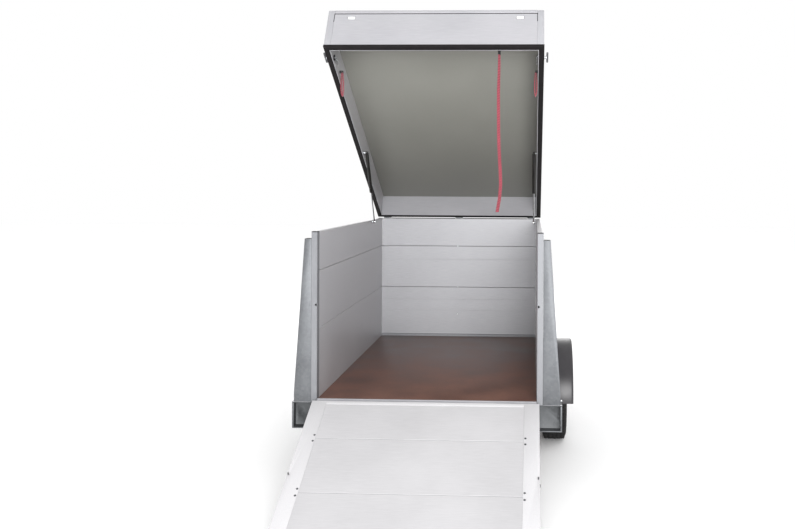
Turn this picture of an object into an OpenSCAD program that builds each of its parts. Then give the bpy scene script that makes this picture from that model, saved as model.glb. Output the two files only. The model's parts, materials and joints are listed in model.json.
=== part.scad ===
// Single-axle box trailer for livestock: plank-walled body on a galvanised frame,
// rear loading ramp folded down and hard lid held open on two gas struts.
// +X right, +Y forward (towards the coupling), +Z up, ground at z = 0, millimetres.

/* [Body] */
// Clear width between the side walls
inner_w = 1260; // [1100:10:1400]
// Clear length of the floor
inner_l = 2110; // [2000:10:2300]
// Height of the walls above the floor
wall_h = 960; // [900:10:1000]
// Thickness of a wall plank
wall_t = 30; // [24:1:36]
// Height of the floor's top face above the ground
floor_z = 466; // [450:1:490]
// Thickness of the floor board
floor_t = 15; // [12:1:18]
// Height of the bottom plank's upper joint above the floor
joint_1 = 400; // [350:5:450]
// Height of the middle plank's upper joint above the floor
joint_2 = 735; // [650:5:800]

/* [Lid] */
// Angle between the open lid and the wall tops, degrees
lid_open = 30.2; // [20:0.1:40]
// Height of the lid's rim, bottom to top
lid_h = 283; // [250:1:320]
// Height of the roof sheet's underside inside the rim
roof_w = 170; // [140:1:200]
// Distance from the hinge axis to the lid's rear face
lid_l = 2180; // [2170:1:2190]
// Length of the hanging pull strap
strap_l = 980; // [600:10:1000]

/* [Ramp] */
// Distance from the ramp's hinge axis to its free edge
ramp_l = 983; // [970:1:990]
// Width of the ramp over its side rails
ramp_w = 1290; // [1270:1:1290]
// Thickness of the ramp
ramp_t = 30; // [28:1:30]

/* [Running gear] */
// Distance from the floor's rear edge to the wheel centres
axle_y = 920; // [850:10:1000]
// Outside radius of a tyre
tyre_r = 273.6; // [270:0.1:275]
// Width of a tyre
tyre_w = 155; // [145:1:155]
// Half the distance between the wheels' centre planes
half_track = 752.5; // [752:0.5:756]
// Length of a suspension arm between its pivot and its stub axle
arm_l = 155; // [150:1:160]
// Wheel bolt circle diameter
wheel_pcd = 100; // [98:1:112]

/* [Drawbar] */
// Distance from the front wall to the coupling ball's centre
drawbar_reach = 1060; // [1000:10:1100]
// Radius of the coupling's ball socket
socket_r = 25.2; // [25:0.1:25.5]
// Radius of the jockey wheel
jockey_r = 100; // [90:1:110]

/* [Hidden] */
$fn = 64;
gap = 0.4;                                   // clearance between pieces that meet
half_in = inner_w / 2;
half_out = half_in + wall_t;
wall_top = wall_h + 2;
front_y = inner_l + wall_t;                  // outer face of the front wall
post_w = 35;
post_d = 45;
post_x = half_in + post_w;                   // outer face of a rear post
frame_z = -floor_t - gap;                    // underside of the floor, where the frame starts
skirt_z = -18;                               // lower edge of walls and posts
rail_h = 80;
rail_x = 585;
rail_w = 40;
rail_wall = 3;
rail_bottom = frame_z - rail_h;
hanger_bolts = [-55, 55];                    // either side of the axle tube
foot_strip = 14;                             // depth of the strip along the front wall's foot

hinge_y = front_y + 10;                      // lid hinge axis
hinge_z = wall_top + 8;
lid_half = half_out + 6;
lid_rail_t = 30;
lid_front = 10;                              // hinge axis to the lid's front face
corner_w = 40;
slot_w = 49;
slot_h = 21;
slot_end = 106;                              // slot's middle from the end of its rail
slot_drop = 50;                              // slot's top edge below the rim's top
seal_t = 7.4;
hinge_xs = [-590, 0, 590];
hinge_pin_r = 4;
run_gap = 0.05;                              // radial clearance of a turning fit

ramp_hinge_y = -31;
ramp_hinge_z = -23;
ramp_slope = asin((floor_z + ramp_hinge_z) / ramp_l);
ramp_rail_w = 85;
ramp_hinge_xs = [-480, 0, 480];
ramp_pin_r = 5;
ramp_barrel_r = 11;
latch_s = 541 - ramp_hinge_z;                // latch pin's distance from the ramp hinge
latch_x = 638;
latch_r = 4;

hub_z = tyre_r - floor_z;                    // wheel centre below the floor's top face
axle_tube = 50;
pivot_z = rail_bottom - 10 - axle_tube / 2;
arm_drop = pivot_z - hub_z;
arm_angle = asin(arm_drop / arm_l);
pivot_y = axle_y + arm_l * cos(arm_angle);
rim_r = 165;
arm_x0 = 640;
arm_x1 = 662;
flange_x = half_track + 30;                  // face that the wheel disc bolts against
stub_r = 15;
guard_r = 345;
guard_t = 4;
guard_z = hub_z + 47;
guard_x0 = 664;
guard_x1 = 868;

ball_y = front_y + drawbar_reach;
ball_z = -50;
arm_back = pivot_y + 70;                     // rear end of the drawbar arms
arm_front = ball_y - 130;
arm_wide = 560;
arm_narrow = 34;
bar_w = 40;
bar_h = 70;
bar_top = rail_bottom - gap;
bar_turn = atan((arm_wide - arm_narrow) / (arm_front - arm_back));
bar_len = norm([arm_wide - arm_narrow, arm_front - arm_back]);
jockey_y = ball_y - 330;
mast_r = 24;
leg_r = 19;
mast_foot = 300 - floor_z;

strut_x = 610;
strut_lid = [940, 25];                       // lid pivot: along the lid, above its rim
strut_wall = [490, 22];                      // wall pivot: behind the hinge, below it
strut_lid_y = -strut_lid[0] * cos(lid_open) + strut_lid[1] * sin(lid_open);
strut_lid_z = strut_lid[0] * sin(lid_open) + strut_lid[1] * cos(lid_open);
strut_run = [-strut_wall[0] - strut_lid_y, -strut_wall[1] - strut_lid_z];
strut_len = norm(strut_run);
strut_lean = atan2(-strut_run[0], -strut_run[1]);
lock_at = [2030, 32];                        // along the lid, above its rim
lock_r = 5;

strap_x = 396;
strap_y = -1846;                             // from the lid hinge, in level axes
strap_top = 1080;
strap_w = 20;
strap_t = 2.4;
strap_sway = [0, 0, -2, -4, -4, -3, -2, 0, 4, 9, 12, 5, -9];
strap_points = [for (i = [0:12]) [strap_x + strap_sway[i], strap_y, strap_top - strap_l * i / 12]];

loop_x = 607;                                // inner face of a hand loop
loop_w = 21;
loop_at = [-1577, 987];                      // its top, from the lid hinge, in level axes

tail_y = ramp_hinge_y - ramp_l * cos(ramp_slope) - ramp_t * sin(ramp_slope);
nose_y = ball_y + 46;
shift_y = -(tail_y + nose_y) / 2;            // centres the whole length on the origin

// ---------- shared shapes and places ----------

module block(lo, hi) translate(lo) cube(hi - lo);

module bar_x(x0, x1, r) translate([x0, 0, 0]) rotate([0, 90, 0]) cylinder(r = r, h = x1 - x0);

module both_sides() {
    children();
    mirror([1, 0, 0]) children();
}

// Moves a piece from the body's own axes (floor's rear edge, floor top) to the ground frame.
module at_body() translate([0, shift_y, floor_z]) children();

// Lid axes: hinge axis at the origin, the lid runs to -y, its rim stands on z = 0.
module at_lid() at_body() translate([0, hinge_y, hinge_z]) rotate([-lid_open, 0, 0]) children();

// Ramp axes: hinge axis at the origin, the ramp runs to -y, its walking face looks to +z.
module at_ramp() at_body() translate([0, ramp_hinge_y, ramp_hinge_z]) rotate([ramp_slope, 0, 0]) children();

// A hollow plank: thickness along x, length along y, height along z.
module plank(t, len, h, chambers, skin = 1.8) {
    pitch = (h - skin) / chambers;
    difference() {
        cube([t, len, h]);
        for (i = [0:chambers - 1])
            translate([skin, -1, skin + i * pitch]) cube([t - 2 * skin, len + 2, pitch - skin]);
    }
}

// A square tube along x, centred on the x axis.
module square_tube_x(x0, x1, side, t) difference() {
    block([x0, -side / 2, -side / 2], [x1, side / 2, side / 2]);
    block([x0 - 1, t - side / 2, t - side / 2], [x1 + 1, side / 2 - t, side / 2 - t]);
}

// ---------- frame ----------

module side_rails() color("#8a898c") at_body() both_sides() difference() {
    block([rail_x, 4, rail_bottom], [rail_x + rail_w, inner_l - gap, frame_z]);
    block([rail_x - 1, 3, rail_bottom + rail_wall],
          [rail_x + rail_w - rail_wall, inner_l + 1, frame_z - rail_wall]);
    for (y = hanger_bolts) translate([rail_x + rail_w / 2, pivot_y + y, rail_bottom - 1])
        cylinder(r = 5.5, h = rail_wall + 2);
}

// Channels across the frame, inside the rails, open towards the rear.
module cross_members() color("#8a898c") at_body() {
    end_x = rail_x - gap;
    for (y = [560, 1090, 1580, inner_l - 45]) difference() {
        block([-end_x, y, frame_z - 50], [end_x, y + 40, frame_z]);
        block([-end_x - 1, y - 1, frame_z - 47], [end_x + 1, y + 37, frame_z - 3]);
    }
    difference() {
        block([-half_in - 8, 0, rail_bottom], [half_in + 8, 3.4, skirt_z - gap]);
        for (x = ramp_hinge_xs) translate([x, 0, ramp_hinge_z - 40]) rotate([90, 0, 0])
            cylinder(r = 4.2, h = 20, center = true);
    }
}

module drawbar() color("#8a898c") at_body() difference() {
    union() {
        both_sides() translate([arm_wide, arm_back, bar_top - bar_h]) rotate([0, 0, bar_turn])
            difference() {
                translate([-bar_w / 2, 0, 0]) cube([bar_w, bar_len, bar_h]);
                translate([-bar_w / 2 + 3, -1, 3]) cube([bar_w - 6, bar_len + 2, bar_h - 6]);
            }
        block([-62, arm_front - 70, bar_top], [62, arm_front + 70, bar_top + 6]);
        block([-62, arm_front - 70, bar_top - bar_h - 6], [62, arm_front + 20, bar_top - bar_h]);
    }
    for (y = [arm_front - 40, arm_front + 50]) translate([0, y, bar_top - 1]) cylinder(r = 6.5, h = 9);
}

// Square tube with a hanger plate under each rail.
module axle_tube() color("#7f8083") at_body() difference() {
    union() {
        translate([0, pivot_y, pivot_z]) square_tube_x(-635, 635, axle_tube, 4);
        both_sides() block([rail_x - 4, pivot_y - 70, pivot_z + axle_tube / 2],
                           [rail_x + rail_w, pivot_y + 70, rail_bottom - gap]);
    }
    both_sides() for (y = hanger_bolts) translate([rail_x + rail_w / 2, pivot_y + y, rail_bottom - 20])
        cylinder(r = 5.5, h = 30);
}

// Four rubber cords in the corners of each end of the axle tube.
module torsion_cords() color("#161616") at_body() translate([0, pivot_y, pivot_z]) both_sides()
    for (y = [-1, 1], z = [-1, 1]) translate([0, y * 15.2, z * 15.2]) bar_x(330, 620, 5.2);

module frame_bolts() color("#b9bbbe") at_body() {
    both_sides() for (y = hanger_bolts) translate([rail_x + rail_w / 2, pivot_y + y, 0]) {
        translate([0, 0, rail_bottom - 22]) cylinder(r = 5, h = 30);
        translate([0, 0, rail_bottom - 22 - 7]) cylinder(r = 9.5, h = 7, $fn = 6);
        translate([0, 0, rail_bottom + rail_wall]) cylinder(r = 9.5, h = 8, $fn = 6);
    }
    for (y = [arm_front - 40, arm_front + 50]) translate([0, y, 0]) {
        translate([0, 0, bar_top - 4]) cylinder(r = 6, h = 19);
        translate([0, 0, bar_top - 12]) cylinder(r = 11, h = 8 , $fn = 6);
        translate([0, 0, bar_top + 11 + gap]) cylinder(r = 11, h = 8, $fn = 6);
    }
}

// ---------- body ----------

module floor_board() color("#654639") at_body()
    block([-half_in + gap, 12 + gap, -floor_t], [half_in - gap, inner_l - foot_strip - gap, 0]);

// Edge strip behind the floor and a cover strip along the front wall's foot.
module floor_trim() color("#c9c9cc") at_body() {
    difference() {
        block([-half_in + gap, 0, skirt_z], [half_in - gap, 12, 2]);
        both_sides() block([rail_x - gap, 4 - gap, skirt_z - 1],
                           [rail_x + rail_w + gap, 13, frame_z + gap]);
    }
    block([-half_in + gap, inner_l - foot_strip, -floor_t], [half_in - gap, inner_l - gap, 18]);
}

module wall_planks(len) {
    levels = [skirt_z, joint_1, joint_2, wall_h];
    for (i = [0:2]) translate([0, 0, levels[i]])
        plank(wall_t, len, levels[i + 1] - levels[i] - gap, 4 - i);
}

module side_wall() translate([half_in, post_d + gap, 0])
    wall_planks(inner_l - post_d - 2 * gap);

module wall_right() color("#9a989b") at_body() side_wall();

module wall_left() color("#9a989b") at_body() mirror([1, 0, 0]) side_wall();

module wall_front() color("#b0b0b3") at_body()
    translate([-half_in + gap, front_y, 0]) rotate([0, 0, -90]) wall_planks(inner_w - 2 * gap);

module rear_posts() color("#a9aaad") at_body() both_sides() difference() {
    block([half_in, 0, skirt_z], [post_x, post_d, wall_top]);
    block([half_in + 3, 3, skirt_z - 1], [post_x - 3, post_d - 3, wall_top - 4]);
    translate([latch_x, -1, latch_s + ramp_hinge_z]) rotate([-90, 0, 0]) cylinder(r = 6.5, h = 20);
}

module front_posts() color("#a9aaad") at_body() both_sides() difference() {
    intersection() {
        block([half_in, inner_l, skirt_z], [half_out, front_y, wall_top]);
        translate([half_in - 10, inner_l - 10, skirt_z - 1]) cylinder(r = wall_t + 22, h = wall_top + 30);
    }
    translate([half_in + 12, inner_l + 12, skirt_z - 1]) cylinder(r = 9, h = wall_top - skirt_z - 3);
}

// Upright stake outside the front wall's middle.
module front_stake() color("#8a898c") at_body() difference() {
    block([-35, front_y + gap, rail_bottom], [35, front_y + 22, wall_h - 75]);
    block([-32, front_y + 3, rail_bottom - 1], [32, front_y + 25, wall_h - 74]);
    for (z = [180, 400, 735]) translate([0, front_y, z]) rotate([90, 0, 0])
        cylinder(r = 3.2, h = 20, center = true);
}

// Tapered bracket outside each rear post: a rear plate with a flange along its slanted edge.
module gussets() color("#8a898c") at_body() both_sides() {
    foot_x = 765;
    head_x = 705;
    head_z = 919;
    x0 = post_x + gap;
    translate([0, 4, 0]) rotate([90, 0, 0]) linear_extrude(4)
        polygon([[x0, skirt_z], [foot_x, skirt_z], [foot_x, 40], [head_x, head_z], [x0, head_z]]);
    translate([0, 62, 0]) rotate([90, 0, 0]) linear_extrude(60)
        polygon([[foot_x - 4, skirt_z], [foot_x, skirt_z], [foot_x, 40], [head_x, head_z],
                 [head_x - 4, head_z], [foot_x - 4, 40]]);
}

// Open-backed box for a rear lamp, under each gusset.
module lamp_boxes() color("#8a898c") at_body() both_sides() difference() {
    block([half_in + 10, 0, -170], [775, 75, skirt_z - gap]);
    block([half_in + 13, -1, -167], [772, 72, skirt_z - 3 - gap]);
    for (z = [-113, -90]) translate([757, 60, z]) rotate([-90, 0, 0]) cylinder(r = 3.2, h = 30);
}

module mudguards() color("#2e2c2e") at_body() both_sides() intersection() {
    translate([0, axle_y, guard_z]) difference() {
        bar_x(guard_x0, guard_x1, guard_r);
        bar_x(guard_x0 - 1, guard_x1 - guard_t, guard_r - guard_t);
        bar_x(guard_x0 - 1, guard_x1 + 1, guard_r - 28);
    }
    block([0, axle_y - 400, guard_z - 8], [900, axle_y + 400, guard_z + 400]);
}

module mudguard_stays() color("#8a898c") at_body() both_sides() for (side = [-1, 1])
    translate([rail_x + rail_w + gap, axle_y + side * 336.5 - 2.5, guard_z - 6])
        cube([guard_x1 - guard_t - 4 - rail_x - rail_w, 5, 34]);

// ---------- lid ----------

module lid_roof() color("#83837d") at_lid()
    block([-lid_half + lid_rail_t + gap, -lid_l + lid_rail_t + gap, roof_w],
          [lid_half - lid_rail_t - gap, -lid_front - lid_rail_t - gap, roof_w + 4]);

module lid_side_rails() color("#a3a1a4") at_lid() both_sides() difference() {
    translate([lid_half - lid_rail_t, -lid_l + corner_w + gap, 0])
        plank(lid_rail_t, lid_l - lid_front - 2 * corner_w - 2 * gap, lid_h, 3);
    translate([0, -lock_at[0], lock_at[1]]) bar_x(lid_half - lid_rail_t - 1, lid_half + 1, 9);
}

module lid_end_rails() color("#cfced2") at_lid() {
    span = 2 * (lid_half - corner_w - gap);
    for (y = [-lid_front, -lid_l + lid_rail_t]) translate([-span / 2, y, 0]) rotate([0, 0, -90])
        difference() {
            plank(lid_rail_t, span, lid_h, 3);
            if (y < -100) for (x = [slot_end, span - slot_end])
                translate([-1, x - slot_w / 2, lid_h - slot_drop - slot_h])
                    cube([lid_rail_t + 2, slot_w, slot_h]);
        }
}

module lid_corners() color("#a9aaad") at_lid() both_sides() for (y = [-lid_front - corner_w, -lid_l])
    difference() {
        block([lid_half - corner_w, y, 0], [lid_half, y + corner_w, lid_h]);
        block([lid_half - corner_w - 1, y < -100 ? y + lid_rail_t : y - 1, -1],
              [lid_half - lid_rail_t, y < -100 ? y + corner_w + 1 : y + corner_w - lid_rail_t, lid_h + 1]);
        block([lid_half - lid_rail_t + 4, y + 6, -1], [lid_half - 4, y + corner_w - 6, lid_h - 4]);
    }

module lid_seal() color("#1b1718") at_lid() difference() {
    block([-lid_half, -lid_l, -seal_t], [lid_half, -lid_front, -gap]);
    block([-lid_half + 30, -lid_l + 30, -seal_t - 1], [lid_half - 30, -lid_front - 30, 1]);
}

module lid_hinge_bases() color("#8a898c") at_body() for (x = hinge_xs) translate([x, 0, 0])
    difference() {
        union() {
            block([-30, front_y + gap, hinge_z - 80], [30, front_y + 4, hinge_z - 9]);
            block([-15, front_y + gap, hinge_z - 12], [15, front_y + 4, hinge_z]);
            translate([0, hinge_y, hinge_z]) bar_x(-15, 15, 8);
        }
        translate([0, hinge_y, hinge_z]) bar_x(-16, 16, hinge_pin_r + run_gap);
        for (side = [-18, 18]) translate([side, front_y, hinge_z - 45]) rotate([90, 0, 0])
            cylinder(r = 3.2, h = 20, center = true);
    }

module hinge_pins() color("#c4c6c8") at_body() {
    for (x = hinge_xs) translate([x, hinge_y, hinge_z]) bar_x(-32, 32, hinge_pin_r);
    for (x = ramp_hinge_xs) translate([x, ramp_hinge_y, ramp_hinge_z]) bar_x(-48, 48, ramp_pin_r);
}

module lid_hinge_leaves() color("#8a898c") at_lid() for (x = hinge_xs) translate([x, 0, 0])
    difference() {
        union() {
            block([-30, -lid_front + gap, 10], [30, -lid_front + 4, 70]);
            for (side = [-1, 1]) translate([side * 22.7, 0, 0]) {
                block([-7, -lid_front + gap, 0], [7, -lid_front + 4, 11]);
                bar_x(-7, 7, 8);
            }
        }
        bar_x(-40, 40, hinge_pin_r + run_gap);
    }

module lock_housings() color("#2a2a2c") at_lid() both_sides() translate([0, -lock_at[0], lock_at[1]])
    difference() {
        union() {
            bar_x(lid_half - lid_rail_t - 8, lid_half + 3, 8.6);
            bar_x(lid_half - lid_rail_t - 8, lid_half - lid_rail_t - gap, 18);
            bar_x(lid_half + gap, lid_half + 3, 15);
        }
        bar_x(lid_half - lid_rail_t - 9, lid_half + 4, lock_r + run_gap);
    }

// T handle outside, stem through the rail, cam plate inside.
module lock_handle() translate([0, -lock_at[0], lock_at[1]]) {
    bar_x(lid_half - lid_rail_t - 16, lid_half + 27, lock_r);
    block([lid_half + 15, -45, -6.5], [lid_half + 27, 45, 6.5]);
    block([lid_half - lid_rail_t - 15, -10, -10], [lid_half - lid_rail_t - 9, 58, 10]);
}

module lock_handle_right() color("#202022") at_lid() lock_handle();

module lock_handle_left() color("#202022") at_lid() mirror([1, 0, 0]) lock_handle();

// Black clip inside the rear rim that the pull strap hangs from.
module strap_anchor() color("#1c1a1c") at_lid()
    block([strap_x - 13, -lid_l + lid_rail_t + gap, 2], [strap_x + 13, -lid_l + lid_rail_t + 24, 30]);

function strap_ring(p) = [for (k = [0:7])
    [p[0] + strap_w / 2 * cos(k * 45 + 22.5), p[1] + strap_t / 2 * sin(k * 45 + 22.5), p[2]]];

// Flat webbing hanging free from the rear rim.
module pull_strap() color("#c2334a") at_body() translate([0, hinge_y, hinge_z]) {
    n = len(strap_points);
    rings = [for (p = strap_points) each strap_ring(p)];
    walls = [for (i = [0:n - 2], k = [0:7])
        [8 * i + k, 8 * i + (k + 1) % 8, 8 * (i + 1) + (k + 1) % 8, 8 * (i + 1) + k]];
    polyhedron(rings, concat([[7, 6, 5, 4, 3, 2, 1, 0]], walls,
        [[for (k = [0:7]) 8 * (n - 1) + k]]));
}

// Short webbing loops that hang inside the lid's side rails.
module grab_loops() color("#a83a4e") at_body() translate([0, hinge_y, hinge_z]) both_sides()
    translate([0, loop_at[0], loop_at[1]]) difference() {
        union() {
            block([loop_x, -12, -165], [loop_x + loop_w, 12, 0]);
            block([loop_x, -12, -14], [lid_half - lid_rail_t - gap, 12, 0]);
        }
        block([loop_x + 3, -13, -161], [loop_x + loop_w - 3, 13, -14]);
    }

// ---------- gas struts ----------

module lid_strut_studs() color("#b9bbbe") at_lid() both_sides()
    translate([0, -strut_lid[0], strut_lid[1]]) {
        bar_x(strut_x + 9, lid_half - lid_rail_t - gap, 5);
        bar_x(lid_half - lid_rail_t - 4, lid_half - lid_rail_t - gap, 14);
    }

module strut_wall_studs() color("#b9bbbe") at_body() both_sides()
    translate([0, hinge_y - strut_wall[0], hinge_z - strut_wall[1]]) {
        bar_x(strut_x + 9, half_in - gap, 5);
        bar_x(half_in - 4, half_in - gap, 9);
    }

// Strut axes: lid pivot at the origin, the strut runs down to -z.
module at_strut() at_body() translate([strut_x, hinge_y + strut_lid_y, hinge_z + strut_lid_z])
    rotate([-strut_lean, 0, 0]) children();

module strut_cylinder() at_strut() {
    bar_x(-7, 7, 10);
    difference() {
        translate([0, 0, -335]) cylinder(r = 12, h = 330);
        translate([0, 0, -325]) cylinder(r = 10, h = 310);
        translate([0, 0, -336]) cylinder(r = lock_r + run_gap, h = 20);
    }
}

module strut_rod() at_strut() {
    translate([0, 0, -strut_len + 8]) cylinder(r = lock_r, h = strut_len - 325);
    translate([0, 0, -322]) cylinder(r = 9.6, h = 12);
    translate([0, 0, -strut_len]) bar_x(-7, 7, 10);
}

module strut_cylinder_right() color("#1a1815") strut_cylinder();

module strut_cylinder_left() color("#1a1815") mirror([1, 0, 0]) strut_cylinder();

module strut_rod_right() color("#d0d2d4") strut_rod();

module strut_rod_left() color("#d0d2d4") mirror([1, 0, 0]) strut_rod();

// ---------- ramp ----------

// Clears the fixed hinge barrels and their pins from a ramp piece, at every angle of the ramp.
module less_barrels() difference() {
    children();
    for (x = ramp_hinge_xs) translate([x, 0, 0]) {
        bar_x(-21, 21, ramp_barrel_r + 2);
        bar_x(-50, 50, ramp_pin_r + run_gap);
    }
}

module ramp_frame() color("#dcdcde") at_ramp() {
    outer = ramp_w / 2;
    inner = outer - ramp_rail_w;
    both_sides() difference() {
        union() {
            difference() {
                block([inner, -ramp_l, 0], [outer, -4, ramp_t]);
                block([inner + 3, -ramp_l - 1, 3], [outer - 3, -3, ramp_t - 3]);
            }
            block([outer - 22, -latch_s - 18, 1], [outer - 1, -latch_s + 18, ramp_t - 1]);
        }
        translate([latch_x, -latch_s, -1]) cylinder(r = latch_r + run_gap, h = 40);
    }
    less_barrels() block([-inner + gap, -30, 0], [inner - gap, -4, ramp_t]);
    block([-inner + gap, -ramp_l, 0], [inner - gap, -ramp_l + 24, ramp_t]);
    for (x = ramp_hinge_xs) translate([x, 0, 0]) both_sides() difference() {
        union() {
            bar_x(21.4, 46, ramp_barrel_r);
            block([21.4, -34, -6], [46, 0, 0]);
        }
        bar_x(20, 50, ramp_pin_r + run_gap);
    }
}

module ramp_planks() color("#e8e7e8") at_ramp() {
    inner = ramp_w / 2 - ramp_rail_w - gap;
    joints = [30, 300, 680, ramp_l - 24];
    for (i = [0:2]) translate([-inner, -joints[i] - gap, 4]) rotate([0, 90, 0]) rotate([0, 0, 180])
        plank(24, joints[i + 1] - joints[i] - 2 * gap, 2 * inner, 1);
}

module ramp_hinge_bases() color("#8a898c") at_body() for (x = ramp_hinge_xs)
    translate([x, 0, ramp_hinge_z]) difference() {
        union() {
            translate([0, ramp_hinge_y, 0]) bar_x(-20, 20, ramp_barrel_r);
            block([-20, ramp_hinge_y, -ramp_barrel_r], [20, -gap, -ramp_barrel_r + 6]);
            block([-20, -6, -60], [20, -gap, -ramp_barrel_r + 6]);
        }
        translate([0, ramp_hinge_y, 0]) bar_x(-21, 21, ramp_pin_r + run_gap);
        translate([0, 0, -40]) rotate([90, 0, 0]) cylinder(r = 4.2, h = 20, center = true);
    }

// Spring bolt square to the ramp, with a knob under it.
module ramp_latch() translate([latch_x, -latch_s, 0]) {
    translate([0, 0, -22]) cylinder(r = latch_r, h = ramp_t + 34);
    translate([0, 0, -24]) cylinder(r = 11, h = 14);
}

module ramp_latch_right() color("#3a3a3c") at_ramp() ramp_latch();

module ramp_latch_left() color("#3a3a3c") at_ramp() mirror([1, 0, 0]) ramp_latch();

// ---------- wheels ----------

// Arm with its torsion bar in the axle tube and its stub axle in the hub.
module swing_arm() at_body() {
    hull() {
        translate([0, pivot_y, pivot_z]) bar_x(arm_x0, arm_x1, 32);
        translate([0, axle_y, hub_z]) bar_x(arm_x0, arm_x1, 28);
    }
    translate([0, pivot_y, pivot_z]) rotate([45, 0, 0]) block([330, -11, -11], [arm_x0 + 2, 11, 11]);
    translate([0, axle_y, hub_z]) bar_x(arm_x1 - 2, flange_x + 4, stub_r);
}

module swing_arm_right() color("#6f7073") swing_arm();

module swing_arm_left() color("#6f7073") mirror([1, 0, 0]) swing_arm();

module hub() at_body() translate([0, axle_y, hub_z]) difference() {
    union() {
        bar_x(arm_x1 + 4, flange_x - 9, 34);
        bar_x(flange_x - 10, flange_x, 64);
        bar_x(flange_x - 1, flange_x + 22, 28);
        for (a = [0:90:270]) rotate([a, 0, 0]) translate([0, wheel_pcd / 2, 0]) {
            bar_x(flange_x - 1, flange_x + 10, 6);
            translate([flange_x + 6, 0, 0]) rotate([0, 90, 0]) cylinder(r = 10, h = 12, $fn = 6);
        }
    }
    bar_x(arm_x1, flange_x + 8, stub_r + run_gap);
}

module hub_right() color("#8d8f92") hub();

module hub_left() color("#8d8f92") mirror([1, 0, 0]) hub();

// Pressed wheel: barrel, two flanges and a disc with bolt holes and vents.
module rim() at_body() translate([half_track, axle_y, hub_z]) rotate([0, 90, 0]) difference() {
    rotate_extrude($fn = 96) {
        polygon([[rim_r - 4, -60], [rim_r + 12, -60], [rim_r + 12, -56], [rim_r, -56], [rim_r, -30],
                 [rim_r - 14, -22], [rim_r - 14, 16], [rim_r, 26], [rim_r, 56], [rim_r + 12, 56],
                 [rim_r + 12, 60], [rim_r - 4, 60], [rim_r - 4, 28], [rim_r - 18, 18],
                 [rim_r - 18, -20], [rim_r - 4, -28]]);
        polygon([[29, 30 + gap], [75, 30 + gap], [110, 12], [rim_r - 17, 8], [rim_r - 17, 13],
                 [112, 17], [77, 36], [29, 36]]);
    }
    for (a = [0:90:270]) rotate([0, 0, a]) translate([0, wheel_pcd / 2, 0]) cylinder(r = 6.5, h = 60);
    for (a = [0:30:330]) rotate([0, 0, a]) translate([123, 0, 0]) cylinder(r = 11, h = 40);
}

module rim_right() color("#c8cacc") rim();

module rim_left() color("#c8cacc") mirror([1, 0, 0]) rim();

module tyre() at_body() translate([half_track, axle_y, hub_z]) rotate([0, 90, 0])
    rotate_extrude($fn = 128) {
        half = tyre_w / 2;
        r0 = rim_r + gap;
        polygon([[r0, -55], [r0 + 13, -55], [r0 + 22, -66], [r0 + 45, -half], [r0 + 62, -half],
                 [tyre_r - 12, -half + 8], [tyre_r - 2, -50], [tyre_r, -30], [tyre_r, 30],
                 [tyre_r - 2, 50], [tyre_r - 12, half - 8], [r0 + 62, half], [r0 + 45, half],
                 [r0 + 22, 66], [r0 + 13, 55], [r0, 55],
                 [r0, 36], [r0 + 12, 40], [r0 + 50, 62], [tyre_r - 24, 56], [tyre_r - 12, 0],
                 [tyre_r - 24, -56], [r0 + 50, -62], [r0 + 12, -40], [r0, -36]]);
    }

module tyre_right() color("#201f20") tyre();

module tyre_left() color("#201f20") mirror([1, 0, 0]) tyre();

// ---------- coupling and jockey wheel ----------

module coupling_head() color("#8a8c90") at_body() translate([0, ball_y, ball_z]) difference() {
    union() {
        translate([0, 0, -18]) cylinder(r = 40, h = 52);
        block([-26, -95, -18], [26, 0, 34]);
        block([-40, -200, bar_top + 6 + gap - ball_z], [40, -60, bar_top + 11 - ball_z + gap]);
        block([-26, -190, bar_top + 9 - ball_z], [-21, -90, 24]);
        block([21, -190, bar_top + 9 - ball_z], [26, -90, 24]);
        translate([0, 30, -10]) cylinder(r = 16, h = 30);
    }
    sphere(r = socket_r);
    translate([0, 0, -60]) cylinder(r = socket_r, h = 60);
    block([-21, -96, -16], [21, -40, 60]);
    for (y = [-170, -80]) translate([0, y, bar_top - 20 - ball_z]) cylinder(r = 6.5, h = 60);
    translate([0, -66, 24]) bar_x(-30, 30, 5 + run_gap);
}

// Lever that lifts to free the ball, on its own cross pin.
module coupling_lever() color("#b4262c") at_body() translate([0, ball_y - 66, ball_z + 24]) {
    bar_x(-27, 27, 5);
    block([-19, -16, -6], [19, 14, 17]);
    block([-15, -130, 12], [15, -10, 20]);
    translate([0, -128, 16]) bar_x(-30, 30, 9);
}

module jockey_clamp() color("#8a898c") at_body() translate([0, jockey_y, 0]) difference() {
    union() {
        translate([0, 0, bar_top + gap]) cylinder(r = mast_r + 7, h = 70);
        block([-120, -30, bar_top + gap], [120, 30, bar_top + 6]);
        block([-6, mast_r + 4, bar_top + 20], [6, mast_r + 34, bar_top + 54]);
        translate([0, mast_r + 22, bar_top + 37]) bar_x(-34, 44, 5);
    }
    translate([0, 0, bar_top - 1]) cylinder(r = mast_r + run_gap, h = 80);
}

module jockey_mast() color("#c0c2c5") at_body() translate([0, jockey_y, 0]) difference() {
    union() {
        translate([0, 0, mast_foot]) cylinder(r = mast_r, h = bar_top + 345 - mast_foot);
        translate([0, 0, bar_top + 345]) cylinder(r = mast_r + 3, h = 14);
    }
    translate([0, 0, mast_foot - 1]) cylinder(r = leg_r + run_gap, h = bar_top + 341 - mast_foot);
    translate([0, 0, bar_top + 330]) cylinder(r = 8 + run_gap, h = 40);
}

// Screw with its crank arm and grip.
module jockey_crank() color("#3a3b3d") at_body() translate([0, jockey_y, 0]) {
    translate([0, 0, bar_top + 60]) cylinder(r = 8, h = 322);
    translate([0, 0, bar_top + 359 + gap]) cylinder(r = 14, h = 14);
    block([-10, -130, bar_top + 366], [10, 10, bar_top + 374]);
    translate([0, -120, bar_top + 370]) cylinder(r = 11, h = 90);
}

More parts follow.
